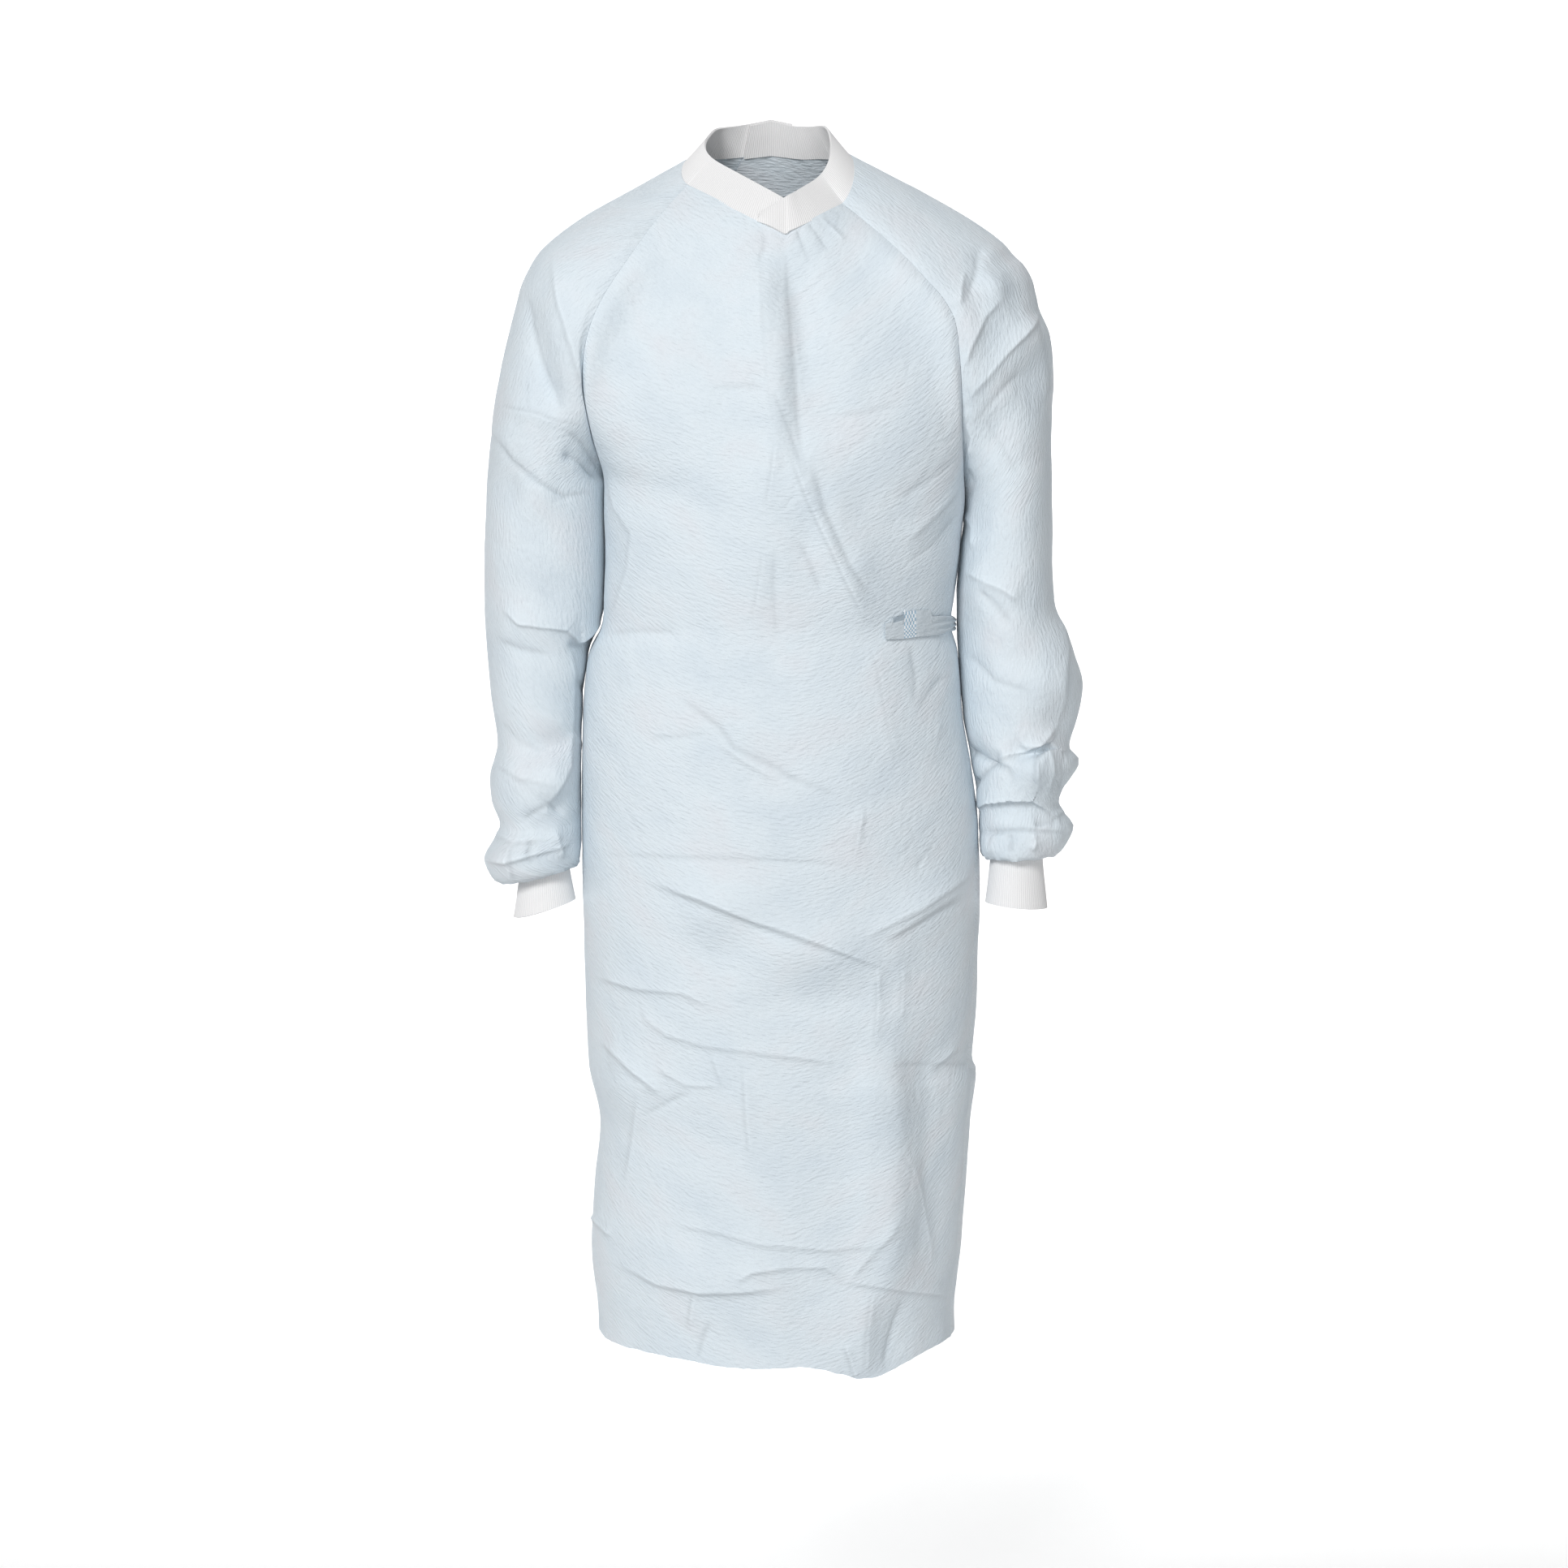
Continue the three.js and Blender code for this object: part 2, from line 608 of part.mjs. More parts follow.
// Edges of the panels, as lists of a sheet and the number of a point
const edgeRow = (sheet, r, from = 0, to = Infinity) =>
  sheet.index[r].slice(from, to).map((i) => ({ sheet, i }));
const edgeColumn = (sheet, c, from, to) =>
  sheet.index.slice(from, to).map((row) => ({ sheet, i: row.at(c) }));
const middleColumn = (frontColumns - 1) / 2;
const leftNeck = [
  ...edgeRow(front, 0, middleColumn - lap.columns),
  ...edgeRow(sleeveOnLeft, 0, 1),
  ...edgeRow(backLeft, 0, 1),
];
const rightNeck = [
  ...edgeRow(backRight, 0),
  ...edgeRow(sleeveOnRight, 0, 1),
  ...edgeRow(front, 0, 1, middleColumn + 1),
];

// Stations of half a neckband: 0 at the V, 2 at the front raglan seam, 4 at the back one, 5 at centre back.
const bandStations = [
  ...Array.from({ length: middleColumn }, (_, c) => spread(c, middleColumn + 1, 0, 2)),
  ...Array.from({ length: sleeveColumns - 1 }, (_, c) => spread(c, sleeveColumns, 2, 4)),
  ...Array.from({ length: backColumns }, (_, c) => spread(c, backColumns, 4, 5 + backReach)),
];
const seamOf = (neck) => neck.map(({ sheet, i }) => sheet.points[i]);
const leftStations = [...Array(lap.columns).fill(0), ...bandStations];
const bandOnLeft = lapNeckband(makeNeckband(seamOf(leftNeck), leftStations, 1));
const bandOnRight = makeNeckband(seamOf(rightNeck), bandStations.toReversed(), -1);

// Seams: each joins an edge to an edge, point by point.
const lastRow = (sheet) => sheet.index.length - 1;
const lapEnd = lap.columns + lap.fade;
const seams = [
  [edgeColumn(front, 0, 0, raglanRows), edgeColumn(sleeveOnRight, -1, 0, raglanRows)],
  [edgeColumn(front, -1, 0, raglanRows), edgeColumn(sleeveOnLeft, 0, 0, raglanRows)],
  [edgeColumn(backRight, -1, 0, raglanRows), edgeColumn(sleeveOnRight, 0, 0, raglanRows)],
  [edgeColumn(backLeft, 0, 0, raglanRows), edgeColumn(sleeveOnLeft, -1, 0, raglanRows)],
  [edgeColumn(front, 0, raglanRows), edgeColumn(backRight, -1, raglanRows)],
  [edgeColumn(front, -1, raglanRows), edgeColumn(backLeft, 0, raglanRows)],
  [leftNeck.slice(lapEnd), edgeRow(bandOnLeft, bandRows, lapEnd)],
  [rightNeck, edgeRow(bandOnRight, bandRows)],
  [edgeRow(sleeveOnRight, lastRow(sleeveOnRight)), edgeRow(cuffOnRight, 0)],
  [edgeRow(sleeveOnLeft, lastRow(sleeveOnLeft)), edgeRow(cuffOnLeft, 0)],
];

const panels = [
  ["front", front], ["back_right", backRight], ["back_left", backLeft],
  ["sleeve_right", sleeveOnRight], ["sleeve_left", sleeveOnLeft],
];
const knits = [
  ["neckband_right", bandOnRight], ["neckband_left", bandOnLeft],
  ["cuff_right", cuffOnRight], ["cuff_left", cuffOnLeft],
];
const ties = [
  ["tie_front", makeTie(tieFromFront)], ["tie_back", makeTie(tieFromBack)],
  ...tieTails.map((tail) => [tail.name, makeTail(tail)]),
];

// Sewn walls end in one plane: the normals along a seam lean towards each other where they face one way.
for (const [, sheet] of [...panels, ...knits]) sheet.drawBack();
const normalsOf = new Map([...panels, ...knits].map(([, sheet]) => [sheet, sheet.normals()]));
for (const [edge, other] of seams) {
  edge.forEach((end, k) => {
    const [a, b] = [end, other[k]].map(({ sheet, i }) => normalsOf.get(sheet)[i]);
    const [own, next] = [a.clone(), b.clone()];
    const weight = Math.max(0, own.dot(next));
    a.addScaledVector(next, weight).normalize();
    b.addScaledVector(own, weight).normalize();
  });
}

// The gown
const gown = new THREE.Group();
gown.name = "surgical_gown";
const clothFinish = { color: 0xd3dee8, roughness: 0.9, metalness: 0 };
const ribFinish = { color: 0xeceef0, roughness: 0.95, metalness: 0 };

function add(name, geometry, finish) {
  const mesh = new THREE.Mesh(geometry, new THREE.MeshStandardMaterial(finish));
  mesh.name = name;
  gown.add(mesh);
}

for (const [name, sheet] of panels) {
  add(name, sheet.wall(clothThickness, normalsOf.get(sheet)), clothFinish);
}
for (const [name, sheet] of knits) {
  add(name, sheet.wall(ribThickness, normalsOf.get(sheet)), ribFinish);
}
for (const [name, sheet] of ties) {
  add(name, sheet.wall(clothThickness), clothFinish);
}
add("tie_knot", makeKnot(), clothFinish);

export default gown;
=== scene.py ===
import json
import math

import bmesh
import bpy
import numpy as np
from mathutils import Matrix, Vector, noise

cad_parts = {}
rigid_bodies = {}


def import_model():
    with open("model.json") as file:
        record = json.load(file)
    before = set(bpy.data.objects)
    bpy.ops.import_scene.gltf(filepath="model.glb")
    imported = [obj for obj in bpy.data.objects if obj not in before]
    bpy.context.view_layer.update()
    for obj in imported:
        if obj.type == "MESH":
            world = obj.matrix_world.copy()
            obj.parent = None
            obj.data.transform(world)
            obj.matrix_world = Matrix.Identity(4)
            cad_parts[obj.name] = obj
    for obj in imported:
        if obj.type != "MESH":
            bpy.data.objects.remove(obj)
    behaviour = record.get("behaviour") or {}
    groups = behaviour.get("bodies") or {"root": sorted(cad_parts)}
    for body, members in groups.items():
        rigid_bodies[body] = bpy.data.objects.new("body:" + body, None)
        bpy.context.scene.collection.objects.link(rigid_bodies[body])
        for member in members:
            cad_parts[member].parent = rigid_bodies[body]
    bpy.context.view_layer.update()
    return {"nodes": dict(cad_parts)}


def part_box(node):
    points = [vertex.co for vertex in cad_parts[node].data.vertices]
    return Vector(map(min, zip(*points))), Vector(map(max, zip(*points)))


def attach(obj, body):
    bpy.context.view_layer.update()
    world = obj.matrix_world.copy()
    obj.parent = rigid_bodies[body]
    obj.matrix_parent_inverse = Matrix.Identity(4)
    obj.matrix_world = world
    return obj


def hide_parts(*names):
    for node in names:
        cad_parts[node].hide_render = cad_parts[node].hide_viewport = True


for spare in list(bpy.data.objects):
    bpy.data.objects.remove(spare)  # Blender's own cube, lamp and camera
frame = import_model()
print("frame loaded:", len(frame["nodes"]), "nodes")

mm = 0.001

# Camera at the photo's angle
photo = {"size": 1932, "metresPerPixel": 0.00074}
viewpoint = {"place": (0.0123, -3.3, -0.23), "target": (0.0123, 0.0, -0.586), "lens": 80.32, "sensor": 36.0}


def addAimed(item, place, target):
    bpy.context.collection.objects.link(item)
    item.location = place
    item.rotation_euler = (Vector(target) - Vector(place)).to_track_quat("-Z", "Y").to_euler()


def addCamera():
    data = bpy.data.cameras.new("photoCamera")
    data.lens = viewpoint["lens"]
    data.sensor_width = viewpoint["sensor"]
    camera = bpy.data.objects.new("photoCamera", data)
    addAimed(camera, viewpoint["place"], viewpoint["target"])
    bpy.context.scene.camera = camera


def toPhoto(points):
    # where points of the gown land on the photo, in its pixels
    place, target = np.array(viewpoint["place"]), np.array(viewpoint["target"])
    ahead = (target - place) / np.linalg.norm(target - place)
    right = np.array((1.0, 0.0, 0.0))
    up = np.cross(right, ahead)
    offset = points - place
    spread = photo["size"] * viewpoint["lens"] / viewpoint["sensor"] / (offset @ ahead)
    middle = photo["size"] / 2
    return np.stack((middle + offset @ right * spread, middle - offset @ up * spread), -1)


# Reading the CAD walls
cadGrid = {"merge": 0.02 * mm, "wallError": 0.004 * mm}


def outerGrid(nodeName, wall, fromTop=True):
    # outer points of a wall as rows and columns, walked over the triangles of a merged copy
    shell = bmesh.new()
    shell.from_mesh(frame["nodes"][nodeName].data)
    bmesh.ops.remove_doubles(shell, verts=shell.verts, dist=cadGrid["merge"])
    rim = [f for f in shell.faces
           if any(abs(e.calc_length() - wall) < cadGrid["wallError"] for e in f.edges)]
    bmesh.ops.delete(shell, geom=rim, context="FACES")
    sides = []
    left = set(shell.faces)
    while left:
        side, todo = [], [left.pop()]
        while todo:
            face = todo.pop()
            side.append(face)
            near = {f for e in face.edges for f in e.link_faces} & left
            left -= near
            todo.extend(near)
        sides.append(side)
    outer = max(sides, key=lambda side: sum(f.calc_area() for f in side))
    shell.verts.index_update()
    points = [v.co.copy() for v in shell.verts]
    third, count = {}, {}
    for face in outer:
        a, b, c = [v.index for v in face.verts]
        third[a, b], third[b, c], third[c, a] = c, a, b
        for i in (a, b, c):
            count[i] = count.get(i, 0) + 1
    shell.free()
    rightOf = {v: u for (u, v) in third if (v, u) not in third}
    corners = [i for i in rightOf if count[i] == 2]
    if corners:
        start = max(corners, key=lambda i: points[i].z if fromTop else -points[i].z)
    else:
        top = [i for i in rightOf if points[i].z > sum(points[k].z for k in rightOf) / len(rightOf)]
        start = max(top, key=lambda i: points[i].y)  # a tube starts at its back
    row = [start]
    while rightOf.get(row[-1]) is not None and count[row[-1]] != 1:
        row.append(rightOf[row[-1]])
        if row[-1] == start:
            break
    rows = [row]
    while (rows[-1][1], rows[-1][0]) in third:
        below = []
        for a, e in zip(rows[-1], rows[-1][1:]):
            d = third[e, a]
            if not below:
                below.append(third[d, a])
            below.append(d)
        rows.append(below)
    closed = [line[0] == line[-1] for line in rows]
    return np.array([[points[i] for i in line] for line in rows]), np.array(closed)


# Smooth surfaces through the CAD points
gridStep = 0.02  # part of a row or column over which slopes are read


def padGrid(points, closed):
    # one more row and column on each side, so that curves can be read up to the edges
    ring = closed[:, None]
    before = np.where(ring, points[:, -2], 2 * points[:, 0] - points[:, 1])
    after = np.where(ring, points[:, 1], 2 * points[:, -1] - points[:, -2])
    wide = np.concatenate((before[:, None], points, after[:, None]), axis=1)
    return np.concatenate((2 * wide[:1] - wide[1:2], wide, 2 * wide[-1:] - wide[-2:-1]))


def curveWeights(places, count):
    # shares of the four points round each place, on a curve that runs through all points
    i = np.clip(np.floor(places).astype(int), 0, count - 2)
    t = places - i
    early = 0.5 * t * (t * (2 - t) - 1)
    late = 0.5 * t * t * (t - 1)
    near = 1 + t * t * (1.5 * t - 2.5)
    return i, (early, near, 1 - early - near - late, late)


def surfaceAt(padded, down, across):
    # points of the smooth surface at part-way rows and columns
    i, downShares = curveWeights(down, len(padded) - 2)
    j, acrossShares = curveWeights(across, padded.shape[1] - 2)
    total = 0
    for k, downShare in enumerate(downShares):
        for n, acrossShare in enumerate(acrossShares):
            total = total + (downShare * acrossShare)[..., None] * padded[i + k, j + n]
    return total


def unitLength(vectors):
    return vectors / np.maximum(np.linalg.norm(vectors, axis=-1, keepdims=True), 1e-15)


def normalsAt(padded, down, across):
    fall = surfaceAt(padded, down + gridStep, across) - surfaceAt(padded, down - gridStep, across)
    run = surfaceAt(padded, down, across + gridStep) - surfaceAt(padded, down, across - gridStep)
    return unitLength(np.cross(fall, run))


def evenPlaces(points, count, axis):
    # grid places that lie at even steps along the cloth
    steps = np.linalg.norm(np.diff(points, axis=axis), axis=-1).mean(axis=1 - axis)
    reached = np.concatenate(((0.0,), np.cumsum(steps)))
    return np.interp(np.linspace(0, reached[-1], count), reached, np.arange(len(reached)))


def gridPlaces(points, closed, rows, columns):
    # rows and columns of a finer grid, with a row where open rows turn into rings
    downPlaces = evenPlaces(points, rows, 0)
    if closed.any() and not closed.all():
        ringStart = float(np.argmax(closed))
        downPlaces[np.argmin(abs(downPlaces - ringStart))] = ringStart
    fineClosed = downPlaces >= np.argmax(closed) - 1e-6 if closed.any() else np.zeros(rows, bool)
    return downPlaces, evenPlaces(points, columns, 1), fineClosed


def refine(points, closed, rows, columns):
    # points and normals of a finer grid
    downPlaces, acrossPlaces, fineClosed = gridPlaces(points, closed, rows, columns)
    down, across = np.meshgrid(downPlaces, acrossPlaces, indexing="ij")
    padded = padGrid(points, closed)
    fine, normals = surfaceAt(padded, down, across), normalsAt(padded, down, across)
    fine[fineClosed, -1], normals[fineClosed, -1] = fine[fineClosed, 0], normals[fineClosed, 0]
    return fine, normals, fineClosed


def readGrid(values, i, j):
    # values of a grid read between its points
    k = np.minimum(i.astype(int), len(values) - 2)
    n = np.minimum(j.astype(int), values.shape[1] - 2)
    s, t = i - k, j - n
    upper = (1 - t) * values[k, n] + t * values[k, n + 1]
    lower = (1 - t) * values[k + 1, n] + t * values[k + 1, n + 1]
    return (1 - s) * upper + s * lower


def edgeDistances(points):
    # how far each point lies along the cloth from the left, right, top and bottom edges
    across = np.linalg.norm(np.diff(points, axis=1), axis=-1)
    down = np.linalg.norm(np.diff(points, axis=0), axis=-1)
    left = np.concatenate((np.zeros((len(points), 1)), np.cumsum(across, axis=1)), axis=1)
    top = np.concatenate((np.zeros((1, points.shape[1])), np.cumsum(down, axis=0)))
    return {"left": left, "right": left[:, -1:] - left, "top": top, "bottom": top[-1:] - top}


def smoothStep(t):
    t = np.clip(t, 0, 1)
    return t * t * (3 - 2 * t)


noiseShift = {"pucker": 41.0, "gather": 7.0, "wave": 63.0, "jag": 80.0, "sway": 5.0, "tie": 17.0}


def noiseAt(points, size, stretch=(1, 1, 1), shift=0.0):
    # smooth noise from -1 to 1 with bumps of about this size
    scaled = points.reshape(-1, 3) / (size * np.array(stretch)) + shift
    return np.array([noise.noise(p) for p in scaled]).reshape(points.shape[:-1])


# Creases: lengths in mm beside a crease, and shares, also for the painted shade along folds and the painted
# highlight on ridges
creaseForm = {
    "reach": 4, "fade": 4, "uneven": 0.3, "waves": 5, "phase": 2.4, "round": 0.25, "need": 0.8,
    "paintedShadeWidth": 2.4, "steepAt": 2.2, "steep": 2, "light": 1.6, "paintedHighlightShare": 0.4,
    "tintStart": 0.25, "tintRise": 5, "tintWidth": 5,
}


def creaseMoves(places, creases, unit):
    # A crease is a line in a flat view: rise in mm, widths in mm on its two sides, the points, and for
    # some a lean in mm. The first width is left of a line that goes down the photo, or below one that
    # goes right. A crease that leans folds over its first side.
    form = creaseForm
    flat = places.reshape(-1, 2)
    rises, needs, paintedShades = np.zeros((3, len(flat)))
    leans = np.zeros((len(flat), 2))
    for order, (rise, first, second, line, *lean) in enumerate(creases.values()):
        line = np.array(line, float)
        reach = form["reach"] * max(first, second) * mm / unit
        low, high = line.min(axis=0) - reach, line.max(axis=0) + reach
        near = np.nonzero(((flat > low) & (flat < high)).all(axis=1))[0]
        if not len(near):
            continue
        spot = flat[near]
        lengths = np.linalg.norm(np.diff(line, axis=0), axis=1)
        nearest = np.full(len(near), np.inf)
        side, along, across = np.zeros(len(near)), np.zeros(len(near)), np.zeros((len(near), 2))
        for k, length in enumerate(lengths):
            way = (line[k + 1] - line[k]) / length
            offset = spot - line[k]
            t = np.clip(offset @ way, 0, length)
            gap = offset - t[:, None] * way
            distance = np.linalg.norm(gap, axis=1)
            closer = distance < nearest
            nearest = np.where(closer, distance, nearest)
            side = np.where(closer, way[0] * gap[:, 1] - way[1] * gap[:, 0], side)
            along = np.where(closer, lengths[:k].sum() + t, along)
            across = np.where(closer[:, None], (-way[1], way[0]), across)
        share = along / lengths.sum()
        fade = smoothStep(form["fade"] * np.minimum(share, 1 - share))
        wave = np.sin(share * (form["waves"] + order % 4) + form["phase"] * order)
        distance = nearest * unit / mm
        width = np.where(side > 0, first, second)
        narrow = min(first, second)
        soft = form["round"] * narrow
        shape = fade * (1 + form["uneven"] * wave)
        shape *= np.exp(-(np.sqrt(distance**2 + soft**2) - soft) / width)
        rises[near] += rise * mm * shape
        if lean:
            leans[near] += lean[0] * mm * shape[:, None] * across
        need = fade * abs(rise) / narrow * np.exp(-distance / (form["need"] * narrow + 1))
        needs[near] = np.maximum(needs[near], need)
        # painted shade: a dark line along a valley; on a ridge a painted highlight on the line and painted
        # shade on its steep side
        if rise < 0:
            tint = -np.exp(-((distance / form["paintedShadeWidth"]) ** 2))
        else:
            steep = (first < second) == (side > 0)
            tint = form["paintedHighlightShare"] * np.exp(-((distance / form["light"]) ** 2))
            tint -= steep * np.exp(-(((distance - form["steepAt"]) / form["steep"]) ** 2))
        most = min(1.0, form["tintStart"] + abs(rise) / form["tintRise"], form["tintWidth"] / narrow)
        paintedShades[near] += fade * most * tint
    shape = places.shape[:-1]
    return rises.reshape(shape), leans.reshape(places.shape), needs.reshape(shape), paintedShades.reshape(shape)


# Lines traced on the photo, in its pixels
chestCreases = {
    "centre roll": (1.2, 26, 20, [(932, 300), (936, 400), (942, 480), (954, 545)]),
    "centre valley": (-2.4, 15, 4, [(966, 289), (970, 335), (978, 446), (986, 540), (994, 590)]),
    "centre lip": (0.9, 3, 6, [(970, 330), (975, 390), (983, 446), (990, 520)]),
    "beside the valley": (-1.6, 5, 4, [(950, 478), (972, 526), (991, 580)]),
    "drag to the tie": (3.4, 7, 12, [(966, 535), (995, 613), (1032, 690), (1064, 758), (1090, 772)]),
    "drag valley": (-2.8, 5, 14, [(996, 556), (1016, 628), (1048, 700), (1084, 752)]),
    "short drag": (-1.8, 4, 5, [(984, 664), (1000, 700), (1014, 736)]),
    "short drag two": (1.0, 4, 5, [(1000, 566), (1008, 610), (1028, 656)]),
    "belly line right": (1.6, 4, 7, [(958, 535), (951, 590), (944, 632)]),
    "belly line middle": (1.1, 5, 8, [(944, 670), (936, 720), (928, 772)]),
    "belly line left": (-1.1, 4, 7, [(954, 666), (953, 730), (957, 796)]),
    "chest line right": (-0.8, 2.6, 2.6, [(872, 479), (910, 475), (946, 477)]),
    "chest line left": (-0.9, 3, 4, [(1028, 512), (1070, 507), (1113, 498)]),
    "armpit drag": (2.4, 6, 9, [(1110, 672), (1150, 635), (1168, 616), (1186, 592)]),
    "armpit drag low": (-1.8, 4, 6, [(1122, 694), (1158, 664), (1184, 628)]),
    "armpit drag top": (-1.4, 4, 5, [(1100, 618), (1140, 596), (1180, 560)]),
    "side facet": (4.6, 12, 30, [(748, 556), (764, 625), (783, 655), (778, 700), (762, 748), (742, 776)]),
    "waist line": (-1.5, 3.5, 5, [(742, 779), (790, 777), (842, 779)]),
    "neck pull 1": (-1.1, 2.6, 3, [(978, 268), (986, 294), (998, 326)]),
    "neck pull 2": (-1.1, 2.6, 3, [(992, 266), (1006, 288), (1024, 312)]),
    "neck pull 3": (0.9, 3, 3, [(1004, 262), (1022, 280), (1044, 300)]),
    "neck pull 4": (-0.9, 3, 3, [(944, 284), (940, 306), (932, 330)]),
}
skirtCreases = {
    "below the tie": (1.8, 10, 16, [(1068, 786), (1081, 817), (1096, 899), (1108, 954)]),
    "tie pull": (-1.8, 4, 6, [(1120, 790), (1128, 830), (1126, 868)]),
    "hip nick": (1.7, 4, 5, [(1157, 880), (1151, 912), (1145, 946)]),
    "hip slant": (-1.7, 4, 4, [(1128, 878), (1147, 852), (1166, 828)]),
    "bright nick": (2.0, 3, 4, [(1064, 992), (1058, 1026), (1052, 1062)]),
    "low nick": (-1.5, 3, 4, [(1152, 1038), (1138, 1056), (1126, 1074)]),
    "low nick ridge": (1.6, 3, 4, [(1157, 1034), (1143, 1054), (1131, 1072)]),
    "belly slant": (-1.0, 3, 3, [(956, 951), (996, 966), (1040, 983)]),
    "hip drag": (-2.4, 4, 7, [(826, 850), (887, 896), (905, 921), (960, 948), (1000, 972)]),
    "hip drag low": (1.5, 4, 6, [(880, 910), (915, 936), (960, 962)]),
    "hip line": (-1.1, 3, 4, [(794, 910), (834, 908), (878, 902)]),
    "packing line": (-1.0, 2.2, 2.2, [(714, 1053), (880, 1058), (1066, 1066)]),
    "skirt drag": (4.4, 3, 34, [
        (778, 1076), (871, 1111), (931, 1135), (1001, 1159), (1078, 1187), (1112, 1196)]),
    "skirt drag under": (-1.2, 4, 3, [(820, 1098), (935, 1142), (1046, 1182)]),
    "left hip ridge": (3.6, 6, 12, [(1052, 1160), (1135, 1118), (1203, 1070)]),
    "left hip ridge two": (2.0, 4, 5, [(1084, 1160), (1132, 1132), (1190, 1094)]),
    "left hip under": (-1.8, 5, 4, [(1080, 1168), (1140, 1134), (1196, 1100)]),
    "thigh drag": (2.8, 3, 16, [(724, 1198), (784, 1217), (841, 1223), (882, 1241)]),
    "thigh line": (2.1, 3, 14, [
        (787, 1221), (797, 1256), (823, 1275), (871, 1288), (975, 1301), (1060, 1312)]),
    "thigh ridge": (4.2, 5, 9, [(736, 1276), (784, 1321), (821, 1353)]),
    "thigh fork": (1.8, 3, 7, [(805, 1312), (845, 1336), (893, 1338)]),
    "thigh hollow": (-1.8, 3.5, 5, [(788, 1375), (820, 1360), (852, 1344)]),
    "thigh nick": (1.2, 3, 4, [(876, 1296), (886, 1322), (894, 1342)]),
    "knee upright": (1.5, 4, 7, [(917, 1308), (921, 1383), (926, 1434)]),
    "low upright": (1.1, 3.5, 5, [(788, 1340), (780, 1410), (770, 1470)]),
    "upright nick": (2.4, 3.5, 5, [(1081, 1180), (1082, 1236), (1079, 1292)]),
    "upright nick two": (2.4, 3.5, 5, [(1112, 1188), (1112, 1226), (1109, 1262)]),
    "left corner": (4.6, 20, 58, [(1092, 1290), (1108, 1360), (1119, 1424), (1112, 1500), (1104, 1600)]),
    "left face line": (-1.4, 2.4, 2.4, [(1095, 1313), (1150, 1312), (1203, 1311)]),
    "left face nick": (1.8, 3, 4, [(1140, 1322), (1160, 1306), (1184, 1286)]),
    "left face drag": (2.2, 4, 6, [(1104, 1400), (1126, 1468), (1139, 1524), (1149, 1582)]),
    "side notch": (3.6, 2.6, 8, [(726, 1494), (738, 1508), (756, 1524)]),
    "hem drag": (3.6, 3, 26, [(748, 1548), (810, 1580), (862, 1591), (914, 1591), (984, 1584)]),
    "hem fork": (2.4, 2.6, 9, [(896, 1584), (927, 1567), (975, 1561), (1018, 1561), (1044, 1580)]),
    "hem left drag": (2.4, 2.6, 14, [(1032, 1577), (1113, 1589), (1180, 1597)]),
    "knee line": (1.6, 3, 14, [
        (800, 1500), (884, 1517), (940, 1533), (1018, 1539), (1087, 1533), (1106, 1506)]),
    "hem left slant": (1.8, 4, 7, [(1040, 1582), (1095, 1521), (1105, 1494)]),
    "hem upright 1": (1.8, 3.5, 4, [(857, 1588), (853, 1615), (850, 1640)]),
    "hem upright 2": (-1.8, 3.5, 5, [(876, 1626), (866, 1648), (857, 1680)]),
    "hem upright 3": (2.6, 4, 7, [(1076, 1586), (1069, 1647), (1067, 1704)]),
    "hem upright 4": (-2.4, 4, 7, [(1116, 1590), (1102, 1630), (1085, 1692)]),
    "hem upright 5": (2.2, 4, 5, [(1040, 1652), (1049, 1678), (1058, 1706)]),
}
rightSleeveCreases = {
    "armhole fold": (5.2, 8, 20, [(680, 296), (690, 380), (708, 446), (727, 500), (740, 560), (750, 604)]),
    "shoulder hollow": (-7.2, 7, 12, [(646, 352), (652, 400), (668, 456), (696, 516)]),
    "armpit drag": (-3.6, 3, 9, [(598, 522), (627, 569), (660, 591), (697, 612), (744, 604)]),
    "armpit fork": (-4.4, 4, 8, [(688, 558), (716, 569), (746, 595)]),
    "armpit wedge": (-3.0, 10, 5, [(694, 528), (718, 546), (744, 580)]),
    "armpit ridge": (2.2, 7, 7, [(611, 502), (657, 510), (678, 518), (720, 528)]),
    "elbow tuck": (3.8, 3, 12, [(614, 742), (641, 767), (691, 774), (709, 789), (740, 757)], 2.0),
    "elbow under": (-2.4, 5, 5, [(606, 786), (640, 800), (682, 806)]),
    "elbow star": (-3.4, 4, 5, [(690, 792), (712, 796), (738, 780)]),
    "inner corner": (6.4, 24, 7, [(694, 778), (700, 830), (699, 885), (694, 946), (672, 988), (646, 1006)]),
    "inner nick 1": (-1.8, 4, 4, [(700, 828), (716, 850), (740, 862)]),
    "inner nick 2": (1.6, 4, 4, [(698, 900), (716, 920), (736, 926)]),
    "forearm drag": (-1.0, 6, 9, [(612, 880), (640, 912), (676, 930)]),
    "forearm ridge": (1.4, 7, 12, [(606, 936), (640, 958), (684, 966)]),
    "wrist tuck": (-4.2, 4, 7, [(640, 1014), (672, 990), (696, 1006)]),
    "wrist lobe": (2.2, 7, 14, [(602, 1020), (634, 1038), (672, 1030)]),
    "blouse line": (4.6, 3, 10, [(590, 1058), (626, 1060), (660, 1050), (704, 1036)], 2.0),
    "wrist upright 1": (2.8, 4, 4, [(630, 1040), (626, 1062), (632, 1088)]),
    "wrist upright 2": (-2.8, 4, 4, [(654, 1032), (650, 1050), (656, 1070)]),
    "wrist upright 3": (2.6, 4, 4, [(680, 1022), (682, 1040), (690, 1060)]),
}
